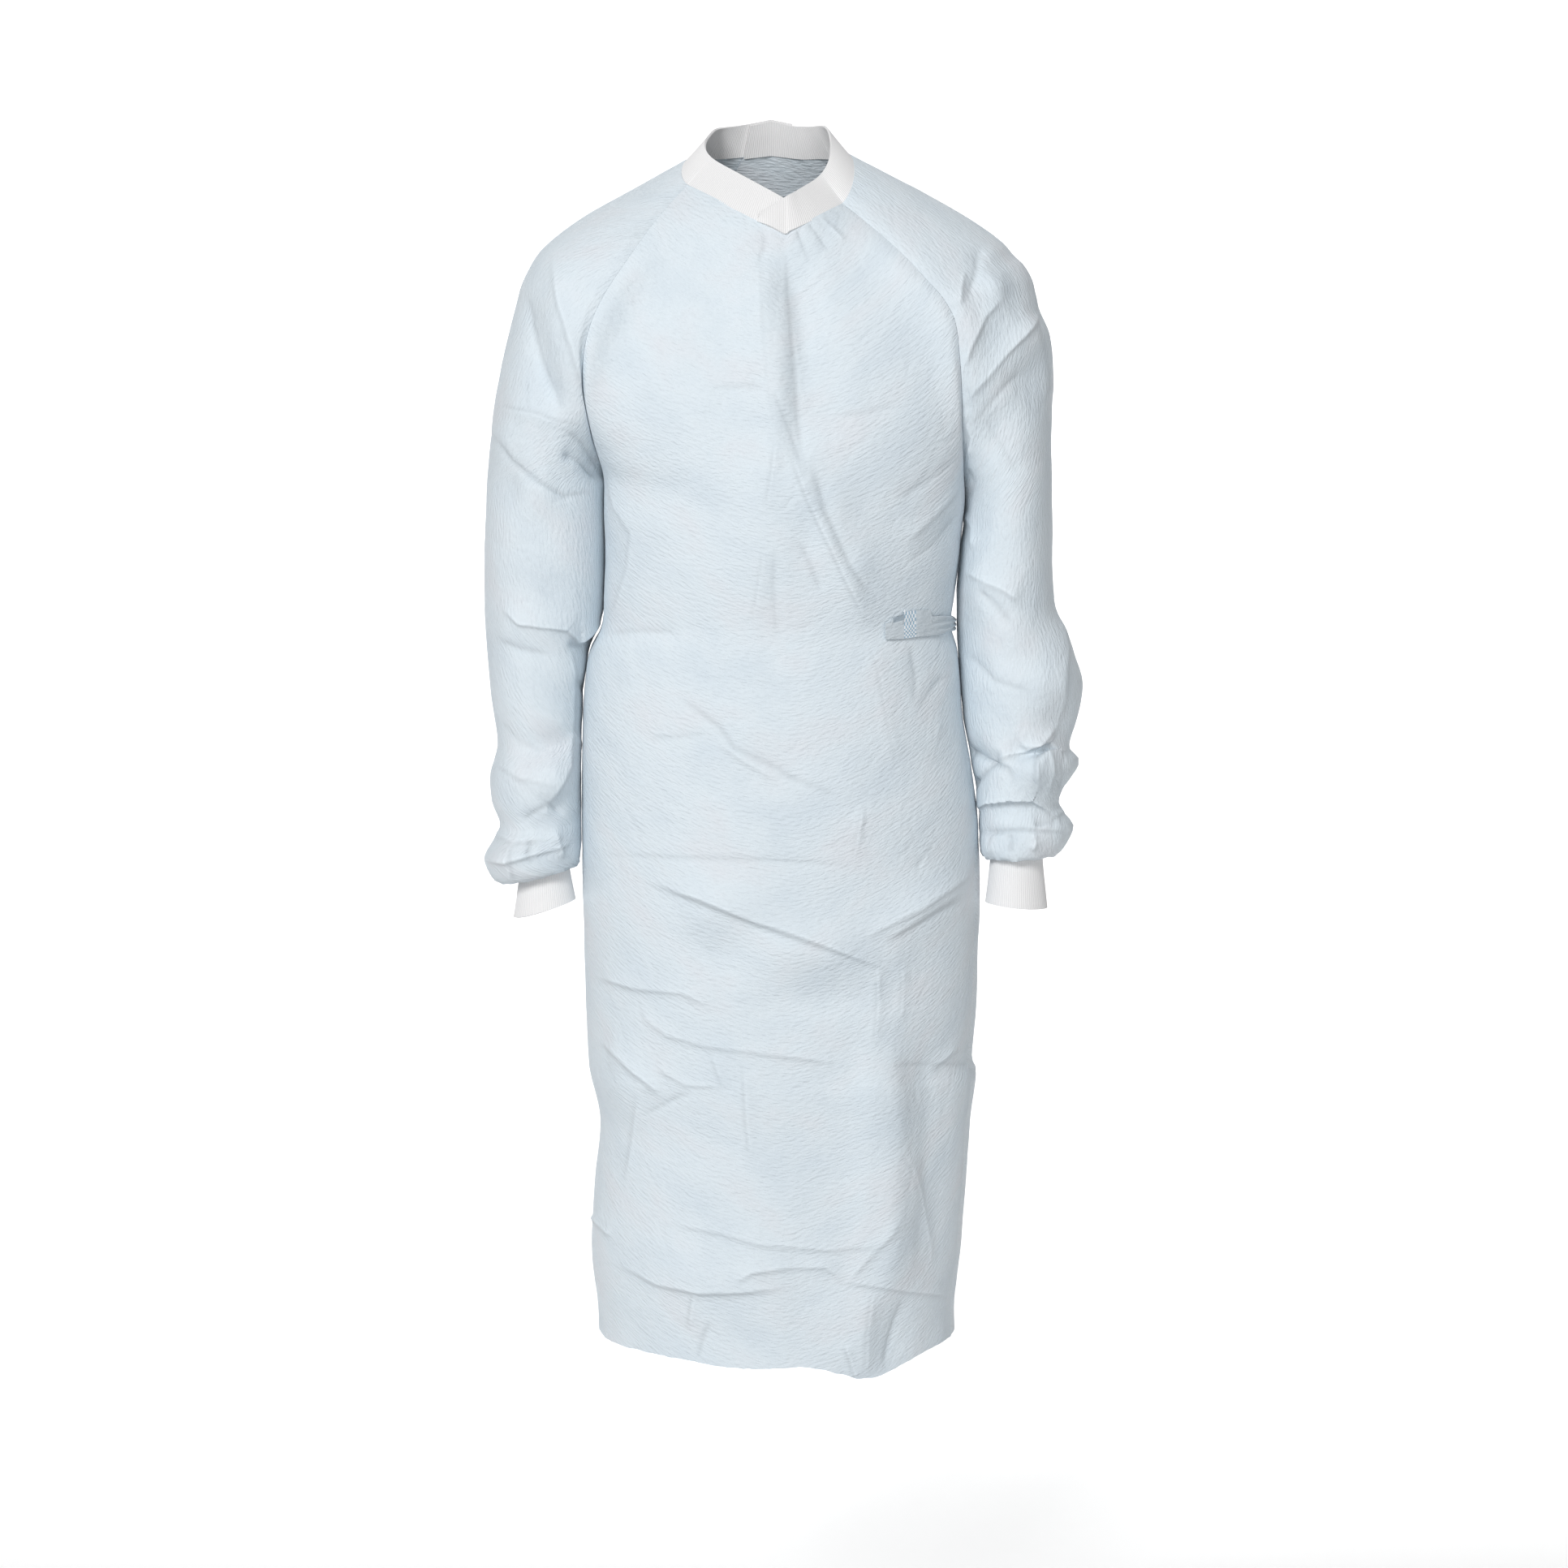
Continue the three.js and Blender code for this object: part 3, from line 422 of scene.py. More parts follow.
leftSleeveCreases = {
    "armhole valley": (-4.6, 4, 8, [(1174, 380), (1181, 440), (1182, 507), (1188, 580)]),
    "armpit fan 1": (5.0, 4, 16, [(1183, 500), (1220, 460), (1241, 432), (1267, 404), (1284, 378)], 1.5),
    "armpit fan 2": (4.2, 4, 12, [(1181, 466), (1194, 428), (1212, 390), (1240, 358)], 1.0),
    "armpit fan 3": (-3.6, 5, 5, [(1190, 372), (1200, 340), (1209, 300)]),
    "armpit fan 4": (-2.8, 5, 9, [(1190, 530), (1230, 486), (1266, 452)]),
    "armpit fan 5": (2.8, 3.5, 5, [(1182, 380), (1184, 356), (1188, 330)]),
    "shoulder facet": (3.0, 7, 12, [(1208, 304), (1229, 343), (1233, 368)]),
    "shoulder facet two": (3.4, 16, 9, [(1244, 312), (1267, 352), (1277, 386)]),
    "outer crease": (4.0, 6, 10, [(1274, 384), (1286, 430), (1292, 476), (1290, 508)]),
    "armpit pucker 1": (2.0, 3.5, 4, [(1186, 520), (1196, 540), (1194, 566)]),
    "armpit pucker 2": (-2.0, 3.5, 4, [(1188, 572), (1198, 594), (1194, 620)]),
    "armpit pucker 3": (2.2, 3.5, 4, [(1188, 628), (1200, 650), (1206, 680)]),
    "arm slope": (-3.0, 14, 18, [(1206, 506), (1234, 550), (1262, 596)]),
    "elbow nick": (-2.8, 4, 5, [(1213, 722), (1230, 746), (1250, 772)]),
    "elbow drag": (2.6, 5, 8, [(1192, 700), (1222, 716), (1262, 744)]),
    "outer corner": (4.6, 22, 8, [(1300, 736), (1309, 800), (1308, 863), (1294, 908)]),
    "forearm drag": (-2.4, 5, 8, [(1192, 800), (1230, 838), (1280, 856)]),
    "wrist ridge": (7.2, 5, 8, [(1246, 917), (1290, 911), (1303, 928), (1278, 945), (1276, 976)], 2.0),
    "wrist star 1": (-6.2, 4, 7, [(1180, 916), (1219, 941), (1240, 946), (1256, 966)]),
    "wrist star 2": (-4.2, 4, 5, [(1190, 974), (1210, 958), (1219, 941), (1236, 924)]),
    "wrist star 3": (4.4, 5, 6, [(1214, 936), (1262, 926), (1306, 886)]),
    "wrist tuck": (6.4, 3, 11, [
        (1198, 1004), (1224, 982), (1246, 978), (1271, 981), (1299, 1004), (1322, 992)], 3.4),
    "wrist nick": (-3.0, 4, 4, [(1184, 958), (1196, 964), (1210, 966)]),
    "wrist nick two": (-2.6, 3, 4, [(1272, 1015), (1288, 1012), (1303, 1009)]),
    "blouse line": (-4.2, 3, 5, [(1202, 1024), (1225, 1026), (1262, 1022), (1326, 1028)]),
    "facet edge": (1.8, 5, 9, [(1250, 902), (1266, 919), (1284, 910)]),
    "facet nick 1": (1.8, 3, 3, [(1290, 930), (1296, 952), (1290, 980)]),
    "facet nick 2": (-1.8, 3, 3, [(1306, 934), (1310, 956), (1304, 978)]),
    "blouse upright 1": (2.6, 4, 4, [(1222, 1026), (1220, 1040), (1224, 1056)]),
    "blouse upright 2": (-2.6, 4, 4, [(1246, 1026), (1248, 1040), (1246, 1054)]),
    "blouse upright 3": (2.6, 4, 4, [(1274, 1026), (1276, 1038), (1272, 1050)]),
}

# Lines of the hidden side, in millimetres of x and z
backCreases = {
    "right blade": (3.2, 16, 20, [(-62, -60), (-50, -150), (-30, -260), (-24, -340)]),
    "left blade": (2.8, 14, 18, [(74, -70), (70, -170), (52, -280), (40, -350)]),
    "blade line": (-1.2, 4, 5, [(-98, -150), (-40, -158), (30, -152), (94, -160)]),
    "right armpit drag": (2.8, 9, 10, [(-158, -290), (-120, -330), (-70, -392)]),
    "left armpit drag": (2.6, 9, 10, [(176, -310), (140, -350), (112, -410)]),
    "waist pull 1": (3.4, 8, 12, [(-130, -404), (-40, -424), (60, -434)]),
    "waist pull 2": (-2.4, 6, 9, [(-110, -432), (-20, -446), (70, -446)]),
    "waist pull 3": (2.8, 8, 10, [(-60, -520), (20, -474), (80, -448)]),
    "seat drag": (3.0, 5, 22, [(-130, -600), (-50, -640), (50, -660), (140, -640)]),
    "packing line": (-1.0, 2.6, 2.6, [(-150, -566), (0, -571), (160, -564)]),
    "right thigh": (3.2, 12, 14, [(-112, -680), (-90, -780), (-64, -880)]),
    "left thigh": (3.0, 12, 14, [(60, -700), (94, -800), (122, -940)]),
    "knee drag": (2.2, 4, 16, [(-140, -840), (-60, -872), (40, -880), (120, -862)]),
    "knee line": (-1.0, 2.6, 2.6, [(-146, -816), (-30, -842), (70, -832), (150, -850)]),
    "low drag": (2.4, 4, 18, [(-120, -980), (-30, -1004), (70, -1000)]),
    "hem upright 1": (2.0, 5, 7, [(-70, -1030), (-76, -1070), (-80, -1112)]),
    "hem upright 2": (-1.8, 5, 7, [(-30, -1040), (-26, -1080), (-24, -1112)]),
    "hem upright 3": (2.0, 5, 7, [(70, -1030), (74, -1070), (72, -1112)]),
}
sleeveBackCreases = {
    "right elbow 1": (3.2, 6, 9, [(-262, -380), (-220, -404), (-172, -398)]),
    "right elbow 2": (-2.8, 6, 8, [(-264, -420), (-220, -436), (-180, -432)]),
    "right elbow 3": (2.6, 6, 8, [(-260, -470), (-226, -462), (-186, -476)]),
    "right armpit": (2.8, 8, 10, [(-250, -230), (-210, -270), (-170, -292)]),
    "right shoulder": (2.0, 8, 10, [(-196, -90), (-214, -150), (-226, -220)]),
    "right forearm": (-2.4, 6, 9, [(-256, -560), (-220, -540), (-190, -552)]),
    "right wrist": (3.0, 5, 8, [(-262, -630), (-226, -640), (-190, -628)]),
    "left elbow 1": (3.2, 6, 9, [(262, -390), (226, -410), (188, -400)]),
    "left elbow 2": (-2.8, 6, 8, [(276, -440), (230, -450), (190, -436)]),
    "left elbow 3": (2.6, 6, 8, [(280, -500), (240, -486), (194, -500)]),
    "left armpit": (2.8, 8, 10, [(254, -230), (220, -270), (188, -306)]),
    "left shoulder": (2.0, 8, 10, [(196, -84), (220, -150), (236, -220)]),
    "left forearm": (-2.4, 6, 9, [(276, -556), (236, -544), (204, -560)]),
    "left wrist": (3.0, 5, 8, [(280, -606), (244, -616), (206, -602)]),
}

crumple = [  # uneven bumps all over the cloth, from large to small, wider than tall
    {"size": 0.085, "height": 1.3 * mm, "shift": 3.1},
    {"size": 0.034, "height": 0.55 * mm, "shift": 11.7},
    {"size": 0.014, "height": 0.2 * mm, "shift": 27.3},
]
crumpleStretch = (1.5, 1.5, 1.0)
sideBlend = {"from": 0.3, "over": 0.45}  # parts of a normal that face forward or back


def sides(normals):
    # how much of the shown and of the hidden side each point belongs to
    start, over = sideBlend["from"], sideBlend["over"]
    return smoothStep((start - normals[..., 1]) / over), smoothStep((normals[..., 1] + start) / over)


def clothMoves(points, normals, front, back, held):
    # creases on both sides and a crumple all over, all dying out where the cloth is held, with the painted
    # shade of the creases
    facing, behind = sides(normals)
    rise, lean, _, shade = creaseMoves(toPhoto(points), front, photo["metresPerPixel"])
    backRise, _, _, backPaintedShade = creaseMoves(points[..., (0, 2)] / mm, back, mm)
    total = facing * rise + behind * backRise
    for layer in crumple:
        total += layer["height"] * noiseAt(points, layer["size"], crumpleStretch, layer["shift"])
    moves = (held * total)[..., None] * normals
    moves[..., 0] += held * facing * lean[..., 0]
    moves[..., 2] -= held * facing * lean[..., 1]
    return moves, held * np.clip(facing * shade + behind * backPaintedShade, -1, 1)


def creaseNeeds(points, normals, front, back):
    facing, behind = sides(normals)
    need = creaseMoves(toPhoto(points), front, photo["metresPerPixel"])[2]
    backNeed = creaseMoves(points[..., (0, 2)] / mm, back, mm)[2]
    return facing * need + behind * backNeed


# Meshes from grids
def gridFaces(rows, columns, closed, flip=False):
    index = np.arange(rows * columns).reshape(rows, columns)
    index[closed, -1] = index[closed, 0]
    quads = np.stack((index[:-1, :-1], index[1:, :-1], index[1:, 1:], index[:-1, 1:]), -1).reshape(-1, 4)
    return quads[:, ::-1] if flip else quads


def addMesh(name, points, faces, uv):
    # a mesh object at the origin with one UV map, in metres along the cloth
    mesh = bpy.data.meshes.new(name)
    corners = np.array([i for face in faces for i in face])
    used = np.unique(corners)
    place = np.full(len(points), -1)
    place[used] = np.arange(len(used))
    mesh.from_pydata(points[used].tolist(), [], [[place[i] for i in face] for face in faces])
    layer = mesh.uv_layers.new(name="cloth")
    layer.data.foreach_set("uv", uv[corners].astype(np.float32).reshape(-1))
    mesh.update()
    piece = bpy.data.objects.new(name, mesh)
    bpy.context.collection.objects.link(piece)
    return piece


smoothAngle = {"sheet": math.radians(70), "band": math.radians(50)}  # sharper turns keep their edge


def pick(piece):
    bpy.ops.object.select_all(action="DESELECT")
    bpy.context.view_layer.objects.active = piece
    piece.select_set(True)


def finishSheet(piece, thickness, material):
    pick(piece)
    wall = piece.modifiers.new("wall", "SOLIDIFY")
    wall.thickness = thickness
    wall.offset = -1
    bpy.ops.object.modifier_apply(modifier="wall")
    bpy.ops.object.shade_smooth_by_angle(angle=smoothAngle["sheet"])
    piece.data.materials.append(material)


def declare(piece, node):
    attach(piece, "root")
    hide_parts(node)
    print(piece.name, "made:", len(piece.data.polygons), "faces")


# Materials
def addNode(tree, kind, inputs, **settings):
    node = tree.nodes.new("ShaderNode" + kind)
    for name, value in settings.items():
        setattr(node, name, value)
    feed(tree, node, inputs)
    return node


def feed(tree, node, inputs):
    # sets constants, and links what comes from other nodes
    for name, value in inputs.items():
        if isinstance(value, bpy.types.NodeSocket):
            tree.links.new(value, node.inputs[name])
        else:
            node.inputs[name].default_value = value


def newMaterial(name):
    material = bpy.data.materials.new(name)
    material.use_nodes = True
    return material, material.node_tree, material.node_tree.nodes["Principled BSDF"]


def addNoise(tree, vector, scale, detail):
    mapping = addNode(tree, "Mapping", {"Vector": vector, "Scale": scale})
    inputs = {"Vector": mapping.outputs["Vector"], "Scale": 1.0, "Detail": detail}
    return addNode(tree, "TexNoise", inputs).outputs["Fac"]


def addRamp(tree, value, stops):
    ramp = addNode(tree, "ValToRGB", {"Fac": value})
    elements = ramp.color_ramp.elements
    for spot, (place, colour) in enumerate(stops):
        element = elements[spot] if spot < 2 else elements.new(place)
        element.position = place
        element.color = (*colour, 1.0)
    return ramp.outputs["Color"]


def addBump(tree, height, strength, distance, under=None):
    bump = addNode(tree, "Bump", {"Height": height, "Strength": strength, "Distance": distance})
    if under is not None:
        feed(tree, bump, {"Normal": under})
    return bump.outputs["Normal"]


def addRange(tree, value, low, high):
    return addNode(tree, "MapRange", {"Value": value, "To Min": low, "To Max": high}).outputs["Result"]


def addMath(tree, operation, first, second):
    return addNode(tree, "Math", {0: first, 1: second}, operation=operation).outputs["Value"]


clothLook = {
    "pale": (0.742, 0.818, 0.872), "deep": (0.69, 0.772, 0.836), "grey": (0.75, 0.798, 0.845),
    "shadeAt": {"deep": 0.3, "grey": 0.7, "pale": 0.52},
    "cloud": (14, 18, 1), "streak": (130, 400, 1), "fibre": (700, 1300, 1), "roughness": (0.62, 0.82),
    "wander": 24, "bend": (0.03, 0.03, 0.0), "crinkle": (24, 30, 1), "crinkleTop": 0.16,
    "patches": (15, 15, 1), "calm": 0.38,
    "crinkleBump": (0.5, 16 * mm), "crepeBump": (0.9, 1.7 * mm), "fibreBump": (0.35, 0.25 * mm),
    "bond": (20 * mm, 34 * mm), "dots": 560,
    "dotWhite": (0.9, 0.93, 0.96, 1), "dotBlue": (0.36, 0.52, 0.65, 1),
    "tuck": (8 * mm, 21 * mm), "tuckDepth": 3 * mm, "paintedTuckShadow": (0.36, 0.43, 0.49, 1),
    # strength of the painted crease shade and painted highlight in the cloth colour
    "paintedCreaseShade": 0.17,
    "shader": {"Specular IOR Level": 0.35, "Sheen Weight": 0.12, "Sheen Roughness": 0.5},
}


def addCrinkle(tree, uv):
    # fine sharp lines between crumpled facets, stronger in patches
    wander = addNode(tree, "TexNoise", {"Vector": uv, "Scale": clothLook["wander"]}).outputs["Color"]
    bend = addNode(tree, "VectorMath", {0: wander, 1: clothLook["bend"], 2: uv}, operation="MULTIPLY_ADD")
    mapping = addNode(tree, "Mapping", {"Vector": bend.outputs["Vector"], "Scale": clothLook["crinkle"]})
    facets = addNode(tree, "TexVoronoi", {}, feature="DISTANCE_TO_EDGE")
    feed(tree, facets, {"Vector": mapping.outputs["Vector"], "Scale": 1.0})
    height = addMath(tree, "MINIMUM", facets.outputs["Distance"], clothLook["crinkleTop"])
    strong = addMath(tree, "SUBTRACT", addNoise(tree, uv, clothLook["patches"], 1), clothLook["calm"])
    return addMath(tree, "MULTIPLY", height, addMath(tree, "MAXIMUM", strong, 0.0))


def addBond(tree, uv, colour):
    # white weld dots where the tie is bonded to the panel, and a painted shadow in the tuck beside them
    split = addNode(tree, "SeparateXYZ", {"Vector": uv})

    def between(start, end):
        past = addMath(tree, "GREATER_THAN", split.outputs["X"], start)
        return addMath(tree, "MULTIPLY", past, addMath(tree, "LESS_THAN", split.outputs["X"], end))

    def mixed(share, below, above):
        # inputs 6 and 7 and output 2 are the colours
        return addNode(tree, "Mix", {"Factor": share, 6: below, 7: above}, data_type="RGBA").outputs[2]

    # painted shadow: a dark strip along the top of the tuck
    upper = addMath(tree, "LESS_THAN", split.outputs["Y"], clothLook["tuckDepth"])
    tuckShadowZone = addMath(tree, "MULTIPLY", between(*clothLook["tuck"]), upper)
    colour = mixed(tuckShadowZone, colour, clothLook["paintedTuckShadow"])
    dots = addNode(tree, "TexChecker", {"Vector": uv, "Scale": clothLook["dots"]})
    feed(tree, dots, {"Color1": clothLook["dotWhite"], "Color2": clothLook["dotBlue"]})
    return mixed(between(*clothLook["bond"]), colour, dots.outputs["Color"])


def addPaintedCreaseShade(tree, colour):
    # painted shade: creases a little darker in the fold, with a painted highlight on the ridge
    crease = addNode(tree, "Attribute", {}, attribute_name="crease").outputs["Fac"]
    amount = addMath(tree, "ADD", addMath(tree, "MULTIPLY", crease, clothLook["paintedCreaseShade"]), 1.0)
    return addNode(tree, "VectorMath", {0: colour, "Scale": amount}, operation="SCALE").outputs["Vector"]


def clothMaterial(name, tint=1.0, bonded=False, creaseShadePainted=False):
    material, tree, shader = newMaterial(name)
    uv = addNode(tree, "UVMap", {}).outputs["UV"]
    cloud = addNoise(tree, uv, clothLook["cloud"], 4)
    streak = addNoise(tree, uv, clothLook["streak"], 3)
    fibre = addNoise(tree, uv, clothLook["fibre"], 2)
    places = clothLook["shadeAt"].items()
    colour = addRamp(tree, cloud, [(at, [tint * part for part in clothLook[shade]]) for shade, at in places])
    if bonded:
        colour = addBond(tree, uv, colour)
    # painted crease shade and painted highlight on the colour
    if creaseShadePainted:
        colour = addPaintedCreaseShade(tree, colour)
    crinkle = addBump(tree, addCrinkle(tree, uv), *clothLook["crinkleBump"])
    crepe = addBump(tree, streak, *clothLook["crepeBump"], crinkle)
    feed(tree, shader, {
        "Base Color": colour, "Roughness": addRange(tree, fibre, *clothLook["roughness"]),
        "Normal": addBump(tree, fibre, *clothLook["fibreBump"], crepe), **clothLook["shader"],
    })
    return material


# deep is the painted shade in the rib grooves, pale the colour on the ribs
ribLook = {
    "pale": (0.91, 0.905, 0.907), "deep": (0.78, 0.78, 0.785), "paleAt": 0.8, "stitch": (640, 1050, 1),
    "roughness": (0.8, 0.95), "bump": (0.3, 0.25 * mm),
    "shader": {"Specular IOR Level": 0.2, "Sheen Weight": 0.2},
}


def ribMaterial(name):
    material, tree, shader = newMaterial(name)
    uv = addNode(tree, "UVMap", {}).outputs["UV"]
    stitch = addNoise(tree, uv, ribLook["stitch"], 2)
    # painted shade: the colour darkens in the grooves between the ribs
    groove = addNode(tree, "VertexColor", {}, layer_name="groove").outputs["Color"]
    feed(tree, shader, {
        "Base Color": addRamp(tree, groove, [(0.0, ribLook["deep"]), (ribLook["paleAt"], ribLook["pale"])]),
        "Roughness": addRange(tree, stitch, *ribLook["roughness"]),
        "Normal": addBump(tree, stitch, *ribLook["bump"]), **ribLook["shader"],
    })
    return material


gownCloth = clothMaterial("gownCloth", creaseShadePainted=True)
# the tie cloths are darker copies of the gown cloth: partly the deeper tone of the doubled strip, partly
# painted shade
tieCloth = clothMaterial("tieCloth", 0.9)
bondedTieCloth = clothMaterial("bondedTieCloth", 0.85, bonded=True)
ribKnit = ribMaterial("ribKnit")

addCamera()

# Cloth panels
seam = {
    "letOut": 0.22 * mm, "dip": 0.18 * mm, "width": 1.4 * mm,
    "pucker": 0.5 * mm, "reach": 9 * mm, "size": 0.011, "fade": 8 * mm,
    "gatherSlope": 0.15, "gatherStart": 4,
}
hem = {"wave": 1.4 * mm, "size": 0.028, "reach": 45 * mm, "jag": 0.9 * mm, "jagSize": 0.007}
raglan = {  # cloth that bridges the hollow between chest and arm: heights, how far out, and how wide
    "heights": (-0.3, -0.27, -0.24, -0.2, -0.16, -0.12, -0.08, -0.04),
    "bridge": (0, 9 * mm, 18 * mm, 23 * mm, 22 * mm, 15 * mm, 7 * mm, 2 * mm), "width": 26 * mm,
    "frontFrom": 0.02, "frontOver": 0.05,
}
press = {  # heights, and how many mm the inner side of a sleeve lies over to the body there
    "sleeve_right": [
        (-0.67, 0), (-0.64, 3.4), (-0.6, 3), (-0.57, 1.7), (-0.53, 1.1), (-0.46, 2.6), (-0.42, 7.8),
        (-0.38, 4.4), (-0.34, 1.2), (-0.32, 0),
    ],
    "sleeve_left": [
        (-0.67, 0), (-0.63, 2.9), (-0.6, 2.9), (-0.57, 0.3), (-0.555, 0.2), (-0.52, 2.9), (-0.46, 4.2),
        (-0.43, 5.8), (-0.4, 7.5), (-0.36, 5), (-0.34, 1.6), (-0.32, 0),
    ],
}
pressFade = {"cuff": 20 * mm, "from": 0.1, "over": 0.6}  # above the cuff, and as the cloth turns inward
clothThickness = {"panel": 0.8 * mm, "cad": 1.6 * mm}

frontPanel = {
    "rows": 172, "columns": 88, "splits": (5600, 4600), "sewn": ("left", "right", "top"),
    "gathers": {"top": (1.0, 8, 20)},
    "cut": (0.57, 1.1), "area": 0.47, "held": "hung", "hangsFrom": ["neckband_left", "sleeve_left"],
}
outerBack = {
    "rows": 170, "columns": 62, "splits": (2600, 2600), "sewn": ("right", "top"),
    "gathers": {"top": (1.0, 8, 20)},
    "cut": (0.45, 1.16), "area": 0.4, "held": "hung", "hangsFrom": ["neckband_right", "sleeve_right"],
}
underBack = {**outerBack, "sewn": ("left", "top"), "hangsFrom": ["neckband_left", "sleeve_left"]}
sleeve = {
    "rows": 140, "columns": 84, "splits": (3400, 3600), "sewn": ("left", "right", "top", "bottom"),
    "gathers": {"top": (0.8, 8, 20), "bottom": (2.6, 12, 26)},
    "cut": (0.49, 0.76), "area": 0.235, "held": "hung", "hangsFrom": ["front"],
}


def creasedMesh(rows, columns, splits, need):
    # rows and columns of the points, and the faces, of a grid that is split where the cloth has creases
    shell = bmesh.new()
    spots = [[shell.verts.new((i, j, 0)) for j in range(columns)] for i in range(rows)]
    for above, below in zip(spots, spots[1:]):
        for j in range(columns - 1):
            shell.faces.new((above[j], below[j], below[j + 1], above[j + 1]))
    for count in splits:
        shell.faces.ensure_lookup_table()
        centres = np.array([face.calc_center_median()[:2] for face in shell.faces])
        inside = (centres[:, 1] > 1) & (centres[:, 1] < columns - 2)
        order = np.argsort(-np.where(inside, need(centres[:, 0], centres[:, 1]), -1))[:count]
        edges = {edge for k in order for edge in shell.faces[k].edges}
        bmesh.ops.subdivide_edges(shell, edges=list(edges), cuts=1, use_grid_fill=True)
    shell.verts.index_update()
    places = np.array([vert.co[:2] for vert in shell.verts])
    faces = [[vert.index for vert in face.verts] for face in shell.faces]
    shell.free()
    return places[:, 0], places[:, 1], faces


def seamDetail(points, edges, toSeam, look):
    # the sewn dip, its puckers, gathers at the bands and the raw cut of the hem
    detail = -seam["dip"] * np.exp(-((toSeam / seam["width"]) ** 2))
    pucker = noiseAt(points, seam["size"], shift=noiseShift["pucker"])
    detail += seam["pucker"] * pucker * np.exp(-toSeam / seam["reach"]) * smoothStep(toSeam / seam["width"])
    for side, (rise, size, reach) in look["gathers"].items():
        flat = np.stack((edges["left"], 0 * toSeam, seam["gatherSlope"] * edges[side]), -1)
        ripple = noiseAt(flat, size * mm, shift=noiseShift["gather"])
        start = seam["gatherStart"] * seam["width"]
        fade = np.exp(-edges[side] / (reach * mm)) * smoothStep(edges[side] / start)
        detail += rise * mm * ripple * fade
    if "bottom" not in look["sewn"]:
        flat = np.stack((points[..., 0], points[..., 1], 0 * toSeam), -1)
        wave = hem["wave"] * noiseAt(flat, hem["size"], shift=noiseShift["wave"])
        detail += wave * np.exp(-edges["bottom"] / hem["reach"])
    return detail


def makePanel(name, node, look, front, back, along=False):
    coarse, coarseClosed = outerGrid(node, clothThickness["cad"])
    padded = padGrid(coarse, coarseClosed)
    rows, columns = look["rows"], look["columns"]
    downPlaces, acrossPlaces, closed = gridPlaces(coarse, coarseClosed, rows, columns)
    base, _, _ = refine(coarse, coarseClosed, rows, columns)
    baseEdges = edgeDistances(base)

    def placesOf(i, j):
        return np.interp(i, np.arange(rows), downPlaces), np.interp(j, np.arange(columns), acrossPlaces)

    def need(i, j):
        down, across = placesOf(i, j)
        return creaseNeeds(surfaceAt(padded, down, across), normalsAt(padded, down, across), front, back)

    i, j, faces = creasedMesh(rows, columns, look["splits"], need)
    down, across = placesOf(i, j)
    points, normals = surfaceAt(padded, down, across), normalsAt(padded, down, across)
    edges = {side: readGrid(values, i, j) for side, values in baseEdges.items()}
    ringed = closed[np.round(i).astype(int)]
    toSeam = np.minimum.reduce([edges[side] for side in look["sewn"]])
    moves, shade = clothMoves(points, normals, front, back, smoothStep(toSeam / seam["fade"]))
    moves += seamDetail(points, edges, toSeam, look)[:, None] * normals
    if "left" in look["sewn"] and "right" in look["sewn"]:
        bridge = np.interp(points[:, 2], raglan["heights"], raglan["bridge"])
        toRaglan = np.minimum(edges["left"], edges["right"])
        frontward = smoothStep((raglan["frontFrom"] - points[:, 1]) / raglan["frontOver"])
        moves[:, 1] -= ~ringed * frontward * bridge * np.exp(-((toRaglan / raglan["width"]) ** 2))
    if node in press:
        inward = -np.sign(points[:, 0])
        heights, shifts = zip(*press[node])
        shift = np.interp(points[:, 2], heights, shifts) * mm
        aboveCuff = smoothStep(edges["bottom"] / pressFade["cuff"])
        turned = smoothStep((inward * normals[:, 0] - pressFade["from"]) / pressFade["over"])
        moves[:, 0] += inward * shift * aboveCuff * turned
    outward = {
        "left": (0, -1, j == 0), "right": (0, 1, j == columns - 1),
        "top": (-1, 0, i == 0), "bottom": (1, 0, i == rows - 1),
    }
    for side in look["sewn"]:
        downStep, acrossStep, edge = outward[side]
        edge = edge & ~(ringed & (acrossStep != 0))
        beyond = surfaceAt(padded, down + gridStep * downStep, across + gridStep * acrossStep)
        moves[edge] += seam["letOut"] * unitLength(beyond - points)[edge]
    if "bottom" not in look["sewn"]:
        moves[:, 2] += (i == rows - 1) * hem["jag"] * noiseAt(points, hem["jagSize"], shift=noiseShift["jag"])
    points = points + moves
    starts, ends = (np.nonzero((j == edge) & ringed)[0] for edge in (0, columns - 1))
    points[ends[np.argsort(i[ends])]] = points[starts[np.argsort(i[starts])]]
    uv = np.stack((edges["left"], -edges["top"]), -1)
    if along:
        uv = uv[:, ::-1]  # crepe runs along the arm
    piece = addMesh(name, points, faces, uv)
    # painted crease shade per point: darkens the folds and lightens the ridges in the cloth colour
    crease = piece.data.attributes.new("crease", "FLOAT", "POINT")
    crease.data.foreach_set("value", shade.astype(np.float32))
    mergeSeam(piece)
    finishSheet(piece, clothThickness["panel"], gownCloth)
    declare(piece, node)


def mergeSeam(piece, turnOut=False):
    # joins edges that meet where rows are rings, and turns the faces of a closed form outward
    shell = bmesh.new()
    shell.from_mesh(piece.data)
    bmesh.ops.remove_doubles(shell, verts=shell.verts, dist=0.01 * mm)
    if turnOut:
        bmesh.ops.recalc_face_normals(shell, faces=shell.faces)
    shell.to_mesh(piece.data)
    shell.free()


frontCreases = {**chestCreases, **skirtCreases}
makePanel("frontPanel", "front", frontPanel, frontCreases, {})
makePanel("outerBackPanel", "back_right", outerBack, {}, backCreases)
makePanel("underBackPanel", "back_left", underBack, {}, backCreases)
makePanel("rightSleeve", "sleeve_right", sleeve, rightSleeveCreases, sleeveBackCreases, along=True)
makePanel("leftSleeve", "sleeve_left", sleeve, leftSleeveCreases, sleeveBackCreases, along=True)

